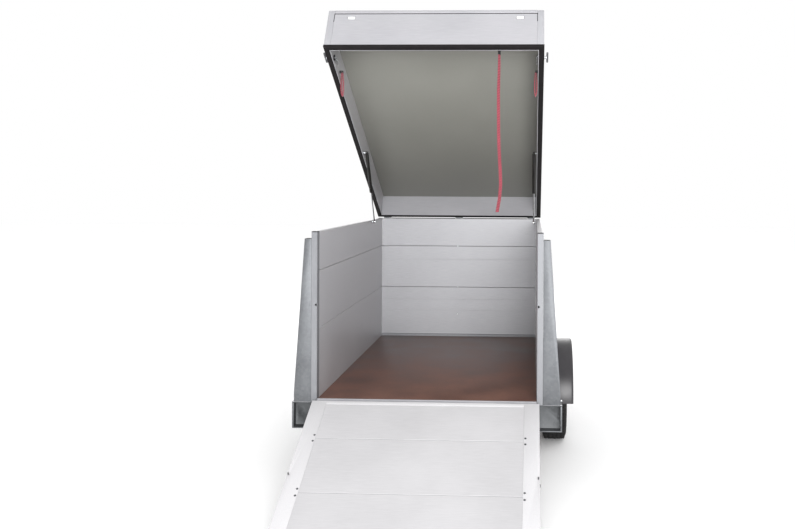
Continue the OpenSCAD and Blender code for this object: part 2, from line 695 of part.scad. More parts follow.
module jockey_leg() color("#a9abae") at_body() translate([0, jockey_y, 0]) difference() {
    union() {
        translate([0, 0, 226 - floor_z]) cylinder(r = leg_r, h = 330);
        translate([0, 0, 218 - floor_z]) cylinder(r = 24, h = 10);
    }
    translate([0, 0, 240 - floor_z]) cylinder(r = 8.6, h = 330);
    translate([0, 0, 210 - floor_z]) cylinder(r = 8 + run_gap, h = 24);
}

// Trailing fork under the leg.
module jockey_fork() color("#8a898c") at_body() translate([0, jockey_y, -floor_z]) difference() {
    union() {
        translate([0, 0, 208]) cylinder(r = 8, h = 24);
        block([-38, -45, 210], [38, 26, 217]);
        both_sides() hull() {
            block([34, -45, 212], [38, 26, 216]);
            translate([0, -30, jockey_r]) bar_x(34, 38, 14);
        }
        translate([0, -30, jockey_r]) bar_x(-44, 44, 6);
    }
}

module jockey_rim() color("#3c3d40") at_body() translate([0, jockey_y - 30, jockey_r - floor_z])
    rotate([0, 90, 0]) difference() {
        union() {
            cylinder(r = 70, h = 40, center = true);
            cylinder(r = 18, h = 62, center = true);
        }
        cylinder(r = 6 + run_gap, h = 80, center = true);
        for (s = [-1, 1]) translate([0, 0, s * 20]) rotate_extrude() translate([20, -12]) square([40, 24]);
    }

module jockey_tyre() color("#201f20") at_body() translate([0, jockey_y - 30, jockey_r - floor_z])
    rotate([0, 90, 0]) rotate_extrude() polygon([[70 + gap, -22], [jockey_r - 6, -25],
        [jockey_r, -17], [jockey_r, 17], [jockey_r - 6, 25], [70 + gap, 22]]);

side_rails();
cross_members();
drawbar();
axle_tube();
torsion_cords();
floor_board();
floor_trim();
wall_left();
wall_right();
wall_front();
rear_posts();
front_posts();
front_stake();
gussets();
lamp_boxes();
mudguards();
mudguard_stays();
lid_hinge_bases();
hinge_pins();
strut_wall_studs();
jockey_clamp();
coupling_head();
ramp_hinge_bases();
frame_bolts();
coupling_lever();
lid_roof();
lid_side_rails();
lid_end_rails();
lid_corners();
lid_seal();
lid_hinge_leaves();
lock_housings();
strap_anchor();
pull_strap();
grab_loops();
lid_strut_studs();
lock_handle_left();
lock_handle_right();
strut_cylinder_left();
strut_cylinder_right();
strut_rod_left();
strut_rod_right();
ramp_frame();
ramp_planks();
ramp_latch_left();
ramp_latch_right();
swing_arm_left();
swing_arm_right();
hub_left();
hub_right();
rim_left();
rim_right();
tyre_left();
tyre_right();
jockey_mast();
jockey_crank();
jockey_leg();
jockey_fork();
jockey_rim();
jockey_tyre();
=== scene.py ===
"""Looks of a single-axle livestock trailer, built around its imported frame.

Every length is in metres unless a name ends in _mm. Places come from the frame's nodes and joints.
"""
from __future__ import annotations

import json
import logging
import math
from dataclasses import dataclass, field
from enum import Enum
from typing import Iterable, Sequence

import bmesh
import bpy
from mathutils import Matrix, Vector

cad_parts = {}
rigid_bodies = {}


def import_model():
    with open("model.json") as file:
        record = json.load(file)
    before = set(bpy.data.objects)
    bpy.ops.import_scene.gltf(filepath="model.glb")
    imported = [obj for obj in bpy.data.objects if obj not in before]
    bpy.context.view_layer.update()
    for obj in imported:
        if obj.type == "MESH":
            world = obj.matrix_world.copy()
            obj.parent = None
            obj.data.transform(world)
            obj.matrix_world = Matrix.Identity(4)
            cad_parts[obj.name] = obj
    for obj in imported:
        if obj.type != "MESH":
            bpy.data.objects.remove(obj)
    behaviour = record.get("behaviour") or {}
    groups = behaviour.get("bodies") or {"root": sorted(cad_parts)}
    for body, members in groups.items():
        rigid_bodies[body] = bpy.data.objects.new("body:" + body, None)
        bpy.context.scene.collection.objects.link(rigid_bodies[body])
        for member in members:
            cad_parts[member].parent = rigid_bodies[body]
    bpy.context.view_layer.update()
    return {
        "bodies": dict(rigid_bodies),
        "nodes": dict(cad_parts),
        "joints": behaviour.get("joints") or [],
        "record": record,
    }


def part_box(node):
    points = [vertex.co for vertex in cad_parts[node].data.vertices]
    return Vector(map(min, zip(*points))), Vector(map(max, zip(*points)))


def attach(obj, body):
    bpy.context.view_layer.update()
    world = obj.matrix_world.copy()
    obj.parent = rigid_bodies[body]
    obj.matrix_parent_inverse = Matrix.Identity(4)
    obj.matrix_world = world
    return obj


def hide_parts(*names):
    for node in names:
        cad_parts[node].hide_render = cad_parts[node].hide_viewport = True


LOG = logging.getLogger("trailer")
MM = 0.001
Point = Sequence[float]
Outline = Sequence[tuple[float, float]]


# ---------------------------------------------------------------- colours and nodes


def srgb(code: str, alpha: float = 1.0) -> tuple[float, float, float, float]:
    """Turns an sRGB hex code into a linear colour.

    Args:
        code: Six hex digits, with or without a hash.
        alpha: The colour's alpha.

    Returns:
        Linear red, green, blue and alpha.
    """
    digits = code.lstrip("#")
    parts = [int(digits[i : i + 2], 16) / 255 for i in (0, 2, 4)]
    linear = [c / 12.92 if c <= 0.04045 else ((c + 0.055) / 1.055) ** 2.4 for c in parts]
    return (linear[0], linear[1], linear[2], alpha)


def add(tree: bpy.types.NodeTree, kind: str, links: dict | None = None, **settings) -> bpy.types.Node:
    """Adds one node to a tree.

    Args:
        tree: The shader or geometry tree.
        kind: The node's type name.
        links: Input name or number to an output socket or a plain value.
        **settings: Attributes of the node.

    Returns:
        The new node.
    """
    node = tree.nodes.new(kind)
    for name, value in settings.items():
        setattr(node, name, value)
    for name, value in (links or {}).items():
        if isinstance(value, bpy.types.NodeSocket):
            tree.links.new(value, node.inputs[name])
        else:
            node.inputs[name].default_value = value
    return node


def ramp(tree: bpy.types.NodeTree, factor: bpy.types.NodeSocket,
         stops: Sequence[tuple[float, str]]) -> bpy.types.NodeSocket:
    """Adds a colour ramp.

    Args:
        tree: The shader tree.
        factor: What drives the ramp.
        stops: Pairs of place, from 0 to 1, and hex colour.

    Returns:
        The ramp's colour output.
    """
    node = add(tree, "ShaderNodeValToRGB", {"Fac": factor})
    elements = node.color_ramp.elements
    while len(elements) > 1:
        elements.remove(elements[-1])
    elements[0].position, elements[0].color = stops[0][0], srgb(stops[0][1])
    for place, code in stops[1:]:
        elements.new(place).color = srgb(code)
    return node.outputs["Color"]


# ---------------------------------------------------------------- finishes


class Along(Enum):
    """The direction in which a surface was drawn, rolled or brushed."""

    X = (0.04, 1.0, 1.0)
    Y = (1.0, 0.04, 1.0)
    Z = (1.0, 1.0, 0.04)


@dataclass(frozen=True)
class Finish:
    """A surface finish with one shader and a cloudy colour, a grain and a fine bump.

    Attributes:
        title: Name of the real finish.
        dark: Colour in the hollows of the pattern.
        light: Colour on the crests of the pattern.
        metallic: How much of a bare metal it is.
        rough: Mean roughness.
        cloud_mm: Size of the colour clouds.
        grain_mm: Size of the fine grain.
        bump_mm: Depth of the grain.
        along: Direction in which the grain is drawn out, if any.
    """

    title: str
    dark: str
    light: str
    metallic: float = 0.0
    rough: float = 0.5
    cloud_mm: float = 120.0
    grain_mm: float = 2.0
    bump_mm: float = 0.05
    along: Along | None = None
    coat: float = 0.0
    sheen: float = 0.0
    specular: float = 0.5

    def pattern(self, tree: bpy.types.NodeTree, place: bpy.types.NodeSocket) -> bpy.types.NodeSocket:
        """Adds the fine pattern that drives bump and part of the colour."""
        return add(tree, "ShaderNodeTexNoise",
                   {"Vector": place, "Scale": 1000 / self.grain_mm, "Detail": 4.0,
                                                "Roughness": 0.6}).outputs["Fac"]

    def build(self) -> bpy.types.Material:
        """Builds the material.

        Returns:
            The finished material.
        """
        material = bpy.data.materials.new(self.title)
        material.use_nodes = True
        tree = material.node_tree
        shader = tree.nodes["Principled BSDF"]
        shader.inputs["Metallic"].default_value = self.metallic
        shader.inputs["Coat Weight"].default_value = self.coat
        shader.inputs["Coat Roughness"].default_value = 0.15
        shader.inputs["Sheen Weight"].default_value = self.sheen
        shader.inputs["Specular IOR Level"].default_value = self.specular
        place = add(tree, "ShaderNodeTexCoord").outputs["Object"]
        drawn = place
        if self.along:
            drawn = add(tree, "ShaderNodeMapping",
                        {"Vector": place, "Scale": self.along.value}).outputs["Vector"]
        cloud = add(tree, "ShaderNodeTexNoise",
                    {"Vector": place, "Scale": 1000 / self.cloud_mm, "Detail": 3.0}).outputs["Fac"]
        fine = self.pattern(tree, drawn)
        blend = add(tree, "ShaderNodeMath", {0: cloud, 1: fine}, operation="ADD").outputs[0]
        half = add(tree, "ShaderNodeMath", {0: blend, 1: 0.5}, operation="MULTIPLY").outputs[0]
        colour = ramp(tree, half, [(0.36, self.dark), (0.64, self.light)])
        tree.links.new(colour, shader.inputs["Base Color"])
        rough = add(tree, "ShaderNodeMapRange", {"Value": half, "From Min": 0.3, "From Max": 0.7,
                                                 "To Min": max(0.02, self.rough - 0.08),
                                                 "To Max": min(1.0, self.rough + 0.08)}).outputs["Result"]
        tree.links.new(rough, shader.inputs["Roughness"])
        bump = add(tree, "ShaderNodeBump", {"Height": fine, "Distance": self.bump_mm * MM, "Strength": 0.6})
        tree.links.new(bump.outputs["Normal"], shader.inputs["Normal"])
        return material


@dataclass(frozen=True)
class Spangle(Finish):
    """Hot-dip zinc: crystal flakes of slightly different greys."""

    flake_mm: float = 14.0

    def pattern(self, tree: bpy.types.NodeTree, place: bpy.types.NodeSocket) -> bpy.types.NodeSocket:
        """Adds cells whose grey differs from flake to flake."""
        cells = add(tree, "ShaderNodeTexVoronoi",
                    {"Vector": place, "Scale": 1000 / self.flake_mm, "Randomness": 1.0})
        grey = add(tree, "ShaderNodeSeparateColor", {"Color": cells.outputs["Color"]}).outputs["Red"]
        soft = add(tree, "ShaderNodeMapRange",
                   {"Value": grey, "To Min": 0.32, "To Max": 0.68}).outputs["Result"]
        noise = add(tree, "ShaderNodeTexNoise",
                    {"Vector": place, "Scale": 1000 / self.grain_mm, "Detail": 2.0})
        mixed = add(tree, "ShaderNodeMix", {"Factor": 0.4, 2: soft, 3: noise.outputs["Fac"]})
        return mixed.outputs[0]


@dataclass(frozen=True)
class WireMesh(Finish):
    """Film-faced plywood with the print of a wire mesh pressed into it."""

    mesh_mm: float = 6.0

    def pattern(self, tree: bpy.types.NodeTree, place: bpy.types.NodeSocket) -> bpy.types.NodeSocket:
        """Adds small raised diamonds, a thread apart."""
        turned = add(tree, "ShaderNodeMapping", {"Vector": place, "Rotation": (0.0, 0.0, math.radians(45))})
        cells = add(tree, "ShaderNodeTexVoronoi",
                    {"Vector": turned.outputs["Vector"], "Scale": 1000 / self.mesh_mm,
                                                   "Randomness": 0.15}, distance="CHEBYCHEV")
        noise = add(tree, "ShaderNodeTexNoise",
                    {"Vector": place, "Scale": 1000 / self.grain_mm, "Detail": 3.0})
        mixed = add(tree, "ShaderNodeMix",
                    {"Factor": 0.5, 2: cells.outputs["Distance"], 3: noise.outputs["Fac"]})
        return mixed.outputs[0]


@dataclass(frozen=True)
class Webbing(Finish):
    """Woven polyester tape: rows of slanted yarns across its width."""

    yarn_mm: float = 2.2

    def pattern(self, tree: bpy.types.NodeTree, place: bpy.types.NodeSocket) -> bpy.types.NodeSocket:
        """Adds the ridges of the yarns."""
        turned = add(tree, "ShaderNodeMapping", {"Vector": place, "Rotation": (0.0, math.radians(30), 0.0)})
        wave = add(tree, "ShaderNodeTexWave",
                   {"Vector": turned.outputs["Vector"], "Scale": 1000 / self.yarn_mm / 20,
                                               "Distortion": 0.6}, bands_direction="Z")
        return wave.outputs["Fac"]


class Shelf:
    """Keeps each finish's material, built once."""

    # Hot-dip galvanised steel: matt mid grey with a faint crystal flake.
    galvanised = Spangle("galvanised steel", "#56585b", "#6f7174", metallic=0.55, rough=0.5, cloud_mm=180,
                         bump_mm=0.03)
    # Duller zinc of the running gear. The lamp boxes take it too, as painted shade that darkens their
    # insides.
    axle = Spangle("galvanised axle steel", "#47494b", "#626466", metallic=0.5, rough=0.55, cloud_mm=120,
                   bump_mm=0.04)
    # Bright zinc plate on screws, pins and studs.
    zinc = Finish("bright zinc plate", "#a9acb0", "#cfd2d5", metallic=0.9, rough=0.28, cloud_mm=20,
                  grain_mm=1.0)
    # Satin anodised planks, drawn along their length. The two copies differ in grey as painted light: the
    # lengthwise one, on the side walls and the lid's side rails, is lighter than the crosswise one on the
    # front wall, to make up for the light that the side walls miss.
    plank_y = Finish("anodised aluminium planks drawn lengthwise", "#b0afb2", "#bbbabd", metallic=0.35,
                     rough=0.42,
                     cloud_mm=600, grain_mm=3.0, bump_mm=0.02, along=Along.Y)
    plank_x = Finish("anodised aluminium planks drawn crosswise", "#848487", "#949497", metallic=0.35,
                     rough=0.42,
                     cloud_mm=600, grain_mm=3.0, bump_mm=0.02, along=Along.X)
    # Mill-finish extrusions of posts and corners.
    profile = Finish("mill finish aluminium posts", "#6e6f73", "#7f8083", metallic=0.25, rough=0.5,
                     cloud_mm=300,
                     grain_mm=2.0, bump_mm=0.02, along=Along.Z)
    # The lid's corner posts.
    corner = Finish("anodised aluminium lid corners", "#9d9da1", "#adadb1", metallic=0.3, rough=0.45,
                    cloud_mm=500,
                    grain_mm=2.0, bump_mm=0.02, along=Along.Z)
    # The lid's pale anodised rails. Strips of it on the rear posts' inner edges and on the lamp boxes' top
    # flanges are painted highlights.
    rail = Finish("anodised aluminium lid rails", "#9e9ea2", "#adacb0", metallic=0.3, rough=0.45,
                  cloud_mm=500,
                  grain_mm=3.0, bump_mm=0.02, along=Along.X)
    # Coil-coated roof sheet, warm grey.
    roof = Finish("coil-coated roof sheet", "#767670", "#80807a", rough=0.55, cloud_mm=700, grain_mm=4.0,
                  bump_mm=0.03)
    # Bright mill-finish ramp.
    ramp_x = Finish("bright aluminium ramp planks", "#b1b0b2", "#bfbec0", metallic=0.15, rough=0.45,
                    cloud_mm=500,
                    grain_mm=3.0, bump_mm=0.02, along=Along.X)
    # The ramp's rails, brighter than its planks.
    ramp_y = Finish("bright aluminium ramp rails", "#bfbec0", "#c9c8ca", metallic=0.1, rough=0.45,
                    cloud_mm=500,
                    grain_mm=3.0, bump_mm=0.02, along=Along.Y)
    # Brown phenolic film with a wire-mesh print.
    floor = WireMesh("brown phenolic film-faced plywood", "#50352c", "#7a5649", rough=0.42, cloud_mm=260,
                     grain_mm=9.0,
                     bump_mm=0.25)
    # Moulded rubber: near black, matt.
    rubber = Finish("moulded black rubber", "#0d0b0c", "#1a1718", rough=0.7, cloud_mm=60, grain_mm=1.5,
                    bump_mm=0.08,
                    specular=0.2)
    # Tyre rubber: a little greyer where it is dusty.
    tyre = Finish("tyre rubber", "#131212", "#232222", rough=0.8, cloud_mm=70, grain_mm=1.2, bump_mm=0.1,
                  specular=0.25)
    # Silver wheel enamel.
    enamel = Finish("silver wheel enamel", "#b3b6b9", "#cdd0d2", metallic=0.6, rough=0.35, cloud_mm=90,
                    coat=0.3)
    # Black polypropylene with a moulded grain.
    guard = Finish("black moulded polypropylene", "#211f22", "#343235", rough=0.38, cloud_mm=120,
                   grain_mm=1.2, bump_mm=0.12)
    # Black nylon fittings.
    nylon = Finish("black nylon", "#121113", "#222123", rough=0.5, cloud_mm=30, grain_mm=0.8, specular=0.35)
    # Grey nylon of spring bolts.
    grey = Finish("grey nylon", "#4c4c4e", "#5e5e60", rough=0.5, cloud_mm=30, grain_mm=0.8, specular=0.35)
    # White nylon plugs in the lid's vents.
    white = Finish("white nylon", "#f2f2f0", "#fbfbfa", rough=0.5, cloud_mm=30, grain_mm=0.8)
    # Black powder coat on handles, crank and strut tubes.
    powder = Finish("black powder coat", "#100f0e", "#1e1d1b", rough=0.45, cloud_mm=60, grain_mm=0.9,
                    bump_mm=0.05,
                    specular=0.3)
    # Ground and plated strut rods.
    rod = Finish("plated strut rod", "#b9bcbf", "#d9dbdd", metallic=1.0, rough=0.16, cloud_mm=30,
                 along=Along.Z)
    # Cast coupling body, zinc plated.
    cast = Finish("zinc plated casting", "#85878a", "#a5a8ab", metallic=0.7, rough=0.5, cloud_mm=40,
                  grain_mm=1.6, bump_mm=0.2)
    # Red powder coat of the coupling's lever.
    red_coat = Finish("red powder coat", "#9c1f27", "#b72c34", rough=0.4, cloud_mm=60, grain_mm=0.9)
    # Red polyester tape.
    tape = Webbing("red polyester webbing", "#6c1d2a", "#8c3a46", rough=0.8, cloud_mm=60, bump_mm=0.4,
                   sheen=0.3)
    # Bottom of holes and slots that nothing lights.
    shade = Finish("shaded hollow", "#0a0a0b", "#111112", rough=0.9, specular=0.1)

    def __init__(self) -> None:
        """Starts with nothing built."""
        self.built: dict[str, bpy.types.Material] = {}

    def get(self, finish: Finish) -> bpy.types.Material:
        """Gives a finish's material, building it the first time."""
        if finish.title not in self.built:
            self.built[finish.title] = finish.build()
        return self.built[finish.title]


# ---------------------------------------------------------------- shapes


def spot(x: float, y: float, z: float) -> Matrix:
    """Gives the matrix that moves a shape to a place, in millimetres."""
    return Matrix.Translation((x * MM, y * MM, z * MM))


def turn(degrees: float, axis: str) -> Matrix:
    """Gives the matrix that turns a shape about an axis."""
    return Matrix.Rotation(math.radians(degrees), 4, axis)


MIRROR = Matrix.Diagonal((-1.0, 1.0, 1.0, 1.0))
SIDES = (("right", Matrix.Identity(4)), ("left", MIRROR))


def block(lo: Point, hi: Point, bevel: float = 1.0, steps: int = 2) -> bmesh.types.BMesh:
    """Makes a box with rounded edges.

    Args:
        lo: Lowest corner, in millimetres.
        hi: Highest corner, in millimetres.
        bevel: Radius of its edges, in millimetres.
        steps: Facets in each rounded edge.

    Returns:
        The box as a mesh.
    """
    mesh = bmesh.new()
    bmesh.ops.create_cube(mesh, size=1.0)
    for vert in mesh.verts:
        vert.co = Vector([(lo[i] + hi[i]) / 2 + vert.co[i] * (hi[i] - lo[i]) for i in range(3)]) * MM
    if bevel > 0:
        bmesh.ops.bevel(mesh, geom=mesh.edges[:], offset=bevel * MM, segments=steps, profile=0.5,
                        affect="EDGES")
    return mesh


def plate(outline: Outline, depth: float, holes: Iterable[Outline] = (),
          bevel: float = 0.5) -> bmesh.types.BMesh:
    """Makes a flat plate, or a straight extrusion, from an outline with holes.

    Args:
        outline: Corners in the xy plane, in millimetres.
        depth: Thickness along +z from the plane, in millimetres.
        holes: Corners of each opening.
        bevel: Radius of its edges, in millimetres.

    Returns:
        The plate as a mesh.
    """
    curve = bpy.data.curves.new("plate", "CURVE")
    curve.dimensions = "2D"
    curve.fill_mode = "BOTH"
    curve.extrude = (depth / 2 - bevel) * MM
    curve.bevel_depth = bevel * MM
    curve.offset = -bevel * MM
    curve.bevel_resolution = 0
    for points in [outline, *holes]:
        spline = curve.splines.new("POLY")
        spline.points.add(len(points) - 1)
        for target, (x, y) in zip(spline.points, points):
            target.co = (x * MM, y * MM, 0.0, 1.0)
        spline.use_cyclic_u = True
    holder = bpy.data.objects.new("plate", curve)
    flat = bpy.data.meshes.new_from_object(holder)
    mesh = bmesh.new()
    mesh.from_mesh(flat)
    bpy.data.objects.remove(holder)
    bpy.data.curves.remove(curve)
    bpy.data.meshes.remove(flat)
    bmesh.ops.remove_doubles(mesh, verts=mesh.verts[:], dist=0.00001)
    bmesh.ops.recalc_face_normals(mesh, faces=mesh.faces[:])
    bmesh.ops.translate(mesh, verts=mesh.verts[:], vec=(0.0, 0.0, depth / 2 * MM))
    return mesh


def disc_outline(radius: float, steps: int = 24, x: float = 0.0,
                 y: float = 0.0) -> list[tuple[float, float]]:
    """Gives the corners of a circle."""
    return [(x + radius * math.cos(math.tau * i / steps), y + radius * math.sin(math.tau * i / steps))
            for i in range(steps)]


def oblong(width: float, height: float, radius: float, steps: int = 4, x: float = 0.0,
           y: float = 0.0) -> list[tuple[float, float]]:
    """Gives the corners of a rectangle with round corners, centred on x and y."""
    corners = [(1, 1, 0), (-1, 1, 90), (-1, -1, 180), (1, -1, 270)]
    return [(x + sx * (width / 2 - radius) + radius * math.cos(math.radians(start + 90 * i / steps)),
             y + sy * (height / 2 - radius) + radius * math.sin(math.radians(start + 90 * i / steps)))
            for sx, sy, start in corners for i in range(steps + 1)]


def turned(profile: Outline, steps: int = 48, closed: bool = False) -> bmesh.types.BMesh:
    """Turns a profile round the x axis.

    Args:
        profile: Pairs of place along x and radius, in millimetres.
        steps: Facets round the axis.
        closed: Whether the profile's last point joins its first, as on a ring.

    Returns:
        The turned shape, with round ends closed.
    """
    mesh = bmesh.new()
    rings = []
    for along, radius in profile:
        rings.append([mesh.verts.new((along * MM, radius * MM * math.cos(math.tau * k / steps),
                                      radius * MM * math.sin(math.tau * k / steps))) for k in range(steps)])
    pairs = list(zip(rings, rings[1:])) + ([(rings[-1], rings[0])] if closed else [])
    for first, second in pairs:
        for k in range(steps):
            mesh.faces.new((first[k], first[(k + 1) % steps], second[(k + 1) % steps], second[k]))
    if not closed:
        mesh.faces.new(rings[0])
        mesh.faces.new(rings[-1])
    bmesh.ops.remove_doubles(mesh, verts=mesh.verts[:], dist=0.000005)
    bmesh.ops.recalc_face_normals(mesh, faces=mesh.faces[:])
    return mesh


def rod(x0: float, x1: float, radius: float, bevel: float = 0.8, steps: int = 32) -> bmesh.types.BMesh:
    """Makes a round bar along x with broken edges, in millimetres."""
    return turned([(x0, radius - bevel), (x0 + bevel, radius), (x1 - bevel, radius), (x1, radius - bevel)],
                  steps)


def moved(mesh: bmesh.types.BMesh, matrix: Matrix) -> bmesh.types.BMesh:
    """Moves a mesh, and turns its faces back out if the matrix mirrors it."""
    bmesh.ops.transform(mesh, matrix=matrix, verts=mesh.verts[:])
    if matrix.determinant() < 0:
        bmesh.ops.reverse_faces(mesh, faces=mesh.faces[:])
    return mesh


def from_node(node: bpy.types.Object) -> bmesh.types.BMesh:
    """Copies a CAD node's mesh, with its loose triangles joined into flat faces."""
    mesh = bmesh.new()
    mesh.from_mesh(node.data)
    bmesh.ops.remove_doubles(mesh, verts=mesh.verts[:], dist=0.00001)
    bmesh.ops.dissolve_limit(mesh, angle_limit=math.radians(1.0), verts=mesh.verts[:], edges=mesh.edges[:])
    return mesh


# ---------------------------------------------------------------- workshop


@dataclass
class Places:
    """The frame's own axes, read from its nodes and joints."""

    frame: dict
    body: Matrix = field(init=False)
    lid: Matrix = field(init=False)
    ramp: Matrix = field(init=False)
    level: Matrix = field(init=False)

    def __post_init__(self) -> None:
        """Works the axes out."""
        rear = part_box("rear_posts")[0].y
        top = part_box("floor_board")[1].z
        self.body = Matrix.Translation((0.0, rear, top))
        lid = self.joint("lid_hinge")
        ramp_joint = self.joint("ramp_hinge")
        self.level = Matrix.Translation(lid["pos_m"])
        self.lid = self.level @ turn(-lid["range_deg"][1], "X")
        self.ramp = Matrix.Translation(ramp_joint["pos_m"]) @ turn(ramp_joint["range_deg"][1] - 90.0, "X")

    def joint(self, name: str) -> dict:
        """Gives a joint's record by its name."""
        return next(j for j in self.frame["joints"] if j["name"] == name)


@dataclass
class Bench:
    """Puts meshes together into pieces and gives them their finish."""

    frame: dict
    shelf: Shelf
    made: list[str] = field(default_factory=list)

    def piece(self, name: str, body: str, parts: Sequence[tuple[bmesh.types.BMesh, Finish]],
              replaces: Sequence[str] = (),
              slot: str = "", smooth: float = 30.0) -> bpy.types.Object:
        """Joins meshes into one piece that rides on a body.

        Args:
            name: The piece's name.
            body: The body that it moves with.
            parts: Meshes in the row frame, each with its finish.
            replaces: CAD nodes that it stands for.
            slot: The record's material slot; not used.
            smooth: Faces that meet at less than this angle, in degrees, are shaded smooth.

        Returns:
            The piece's object.
        """
        joined = bmesh.new()
        data = bpy.data.meshes.new(name)
        finishes: list[Finish] = []
        for mesh, finish in parts:
            if finish not in finishes:
                finishes.append(finish)
                data.materials.append(self.shelf.get(finish))
            for face in mesh.faces:
                face.material_index = finishes.index(finish)
            flat = bpy.data.meshes.new("flat")
            mesh.to_mesh(flat)
            mesh.free()
            joined.from_mesh(flat)
            bpy.data.meshes.remove(flat)
        for face in joined.faces:
            face.smooth = True
        for edge in joined.edges:
            edge.smooth = len(edge.link_faces) == 2 and edge.calc_face_angle(0.0) < math.radians(smooth)
        joined.to_mesh(data)
        joined.free()
        thing = bpy.data.objects.new(name, data)
        bpy.context.scene.collection.objects.link(thing)
        return self.settle(thing, body, replaces, slot)

    def settle(self, thing: bpy.types.Object, body: str, replaces: Sequence[str],
               slot: str) -> bpy.types.Object:
        """Makes a finished object ride on its body and stand for its nodes."""
        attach(thing, body)
        if replaces:
            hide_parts(*replaces)
        self.made.append(thing.name)
        LOG.info("%s: %d faces", thing.name, len(thing.data.polygons))
        return thing

    def soften(self, node: str, body: str, finish: Finish, bevel: float = 1.0,
               slot: str = "") -> bpy.types.Object:
        """Stands a copy of a CAD node, with its sharp edges broken, in for the node.

        Args:
            node: The CAD node.
            body: The body that it rides on.
            finish: The copy's finish.
            bevel: Width of the broken edges, in millimetres.
            slot: The record's material slot; not used.

        Returns:
            The copy.
        """
        mesh = from_node(self.frame["nodes"][node])
        sharp = [e for e in mesh.edges
                 if len(e.link_faces) == 2 and e.calc_face_angle(0.0) > math.radians(40)]
        bmesh.ops.bevel(mesh, geom=sharp, offset=bevel * MM, segments=2, profile=0.5, affect="EDGES",
                        clamp_overlap=True)
        return self.piece(node + "_finished", body, [(mesh, finish)], [node], slot)


# ---------------------------------------------------------------- repeated fittings


class Sockets:
    """Sets a geometry tree's inputs by name."""

    @staticmethod
    def set(modifier: bpy.types.NodesModifier, **values) -> None:
        """Gives the modifier's inputs their values, found by the socket's name."""
        for item in modifier.node_group.interface.items_tree:
            if item.item_type == "SOCKET" and item.in_out == "INPUT" and item.name in values:
                modifier[item.identifier] = values[item.name]


@dataclass
class Fasteners:
    """Sets one small part at each of many points, with its foot on the surface there."""

    bench: Bench
    tree: bpy.types.NodeTree = field(init=False)

    def __post_init__(self) -> None:
        """Builds the tree: points, each with a facing, take an instance with a random spin."""
        tree = bpy.data.node_groups.new("fasteners at points", "GeometryNodeTree")
        face = tree.interface
        face.new_socket("Geometry", in_out="INPUT", socket_type="NodeSocketGeometry")
        face.new_socket("Fastener", in_out="INPUT", socket_type="NodeSocketObject")
        face.new_socket("Finish", in_out="INPUT", socket_type="NodeSocketMaterial")
        face.new_socket("Spin", in_out="INPUT", socket_type="NodeSocketFloat")
        face.new_socket("Geometry", in_out="OUTPUT", socket_type="NodeSocketGeometry")
        given = add(tree, "NodeGroupInput")
        facing = add(tree, "GeometryNodeInputNamedAttribute", {"Name": "facing"}, data_type="FLOAT_VECTOR")
        upright = add(tree, "FunctionNodeAlignRotationToVector", {"Vector": facing.outputs["Attribute"]},
                      axis="X")
        spin = add(tree, "FunctionNodeRandomValue", {2: 0.0, 3: given.outputs["Spin"], "Seed": 7},
                   data_type="FLOAT")
        twist = add(tree, "ShaderNodeCombineXYZ", {"X": spin.outputs[1]})
        turned_by = add(tree, "FunctionNodeEulerToRotation", {"Euler": twist.outputs["Vector"]})
        rotation = add(tree, "FunctionNodeRotateRotation", {"Rotation": upright.outputs["Rotation"],
                                                             "Rotate By": turned_by.outputs["Rotation"]},
                       rotation_space="LOCAL")
        shape = add(tree, "GeometryNodeObjectInfo", {"Object": given.outputs["Fastener"]})
        placed = add(tree, "GeometryNodeInstanceOnPoints", {"Points": given.outputs["Geometry"],
                                                             "Instance": shape.outputs["Geometry"],
                                                             "Rotation": rotation.outputs["Rotation"]})
        solid = add(tree, "GeometryNodeRealizeInstances", {"Geometry": placed.outputs["Instances"]})
        painted = add(tree, "GeometryNodeSetMaterial", {"Geometry": solid.outputs["Geometry"],
                                                         "Material": given.outputs["Finish"]})
        add(tree, "NodeGroupOutput", {"Geometry": painted.outputs["Geometry"]})
        self.tree = tree

    def place(self, name: str, body: str, fastener: bmesh.types.BMesh, finish: Finish,
              at: Sequence[tuple[Vector, Vector]], replaces: Sequence[str] = (), slot: str = "",
              spin: float = math.tau) -> bpy.types.Object:
        """Sets the fasteners.

        Args:
            name: The piece's name.
            body: The body that it rides on.
            fastener: One fastener, standing along +x from the origin.
            finish: Its finish.
            at: Places and outward directions in the row frame.
            replaces: CAD nodes that it stands for.
            slot: The record's material slot; not used.
            spin: Most that one is turned at random about its own axis, in radians.

        Returns:
            The piece.
        """
        one = bpy.data.meshes.new("one fastener")
        for face in fastener.faces:
            face.smooth = True
        for edge in fastener.edges:
            edge.smooth = len(edge.link_faces) == 2 and edge.calc_face_angle(0.0) < math.radians(35)
        fastener.to_mesh(one)
        fastener.free()
        template = bpy.data.objects.new("one fastener", one)
        points = bpy.data.meshes.new(name)
        points.from_pydata([p for p, _ in at], [], [])
        facing = points.attributes.new("facing", "FLOAT_VECTOR", "POINT")
        for item, (_, outward) in zip(facing.data, at):
            item.vector = outward
        holder = bpy.data.objects.new(name + "_points", points)
        bpy.context.scene.collection.objects.link(holder)
        bpy.context.scene.collection.objects.link(template)
        modifier = holder.modifiers.new("fasteners", "NODES")
        modifier.node_group = self.tree
        Sockets.set(modifier, Fastener=template, Finish=self.bench.shelf.get(finish), Spin=spin)
        bpy.context.view_layer.update()
        graph = bpy.context.evaluated_depsgraph_get()
        data = bpy.data.meshes.new_from_object(holder.evaluated_get(graph))
        data.name = name
        bpy.data.objects.remove(holder)
        bpy.data.objects.remove(template)
        thing = bpy.data.objects.new(name, data)
        bpy.context.scene.collection.objects.link(thing)
        return self.bench.settle(thing, body, replaces, slot)


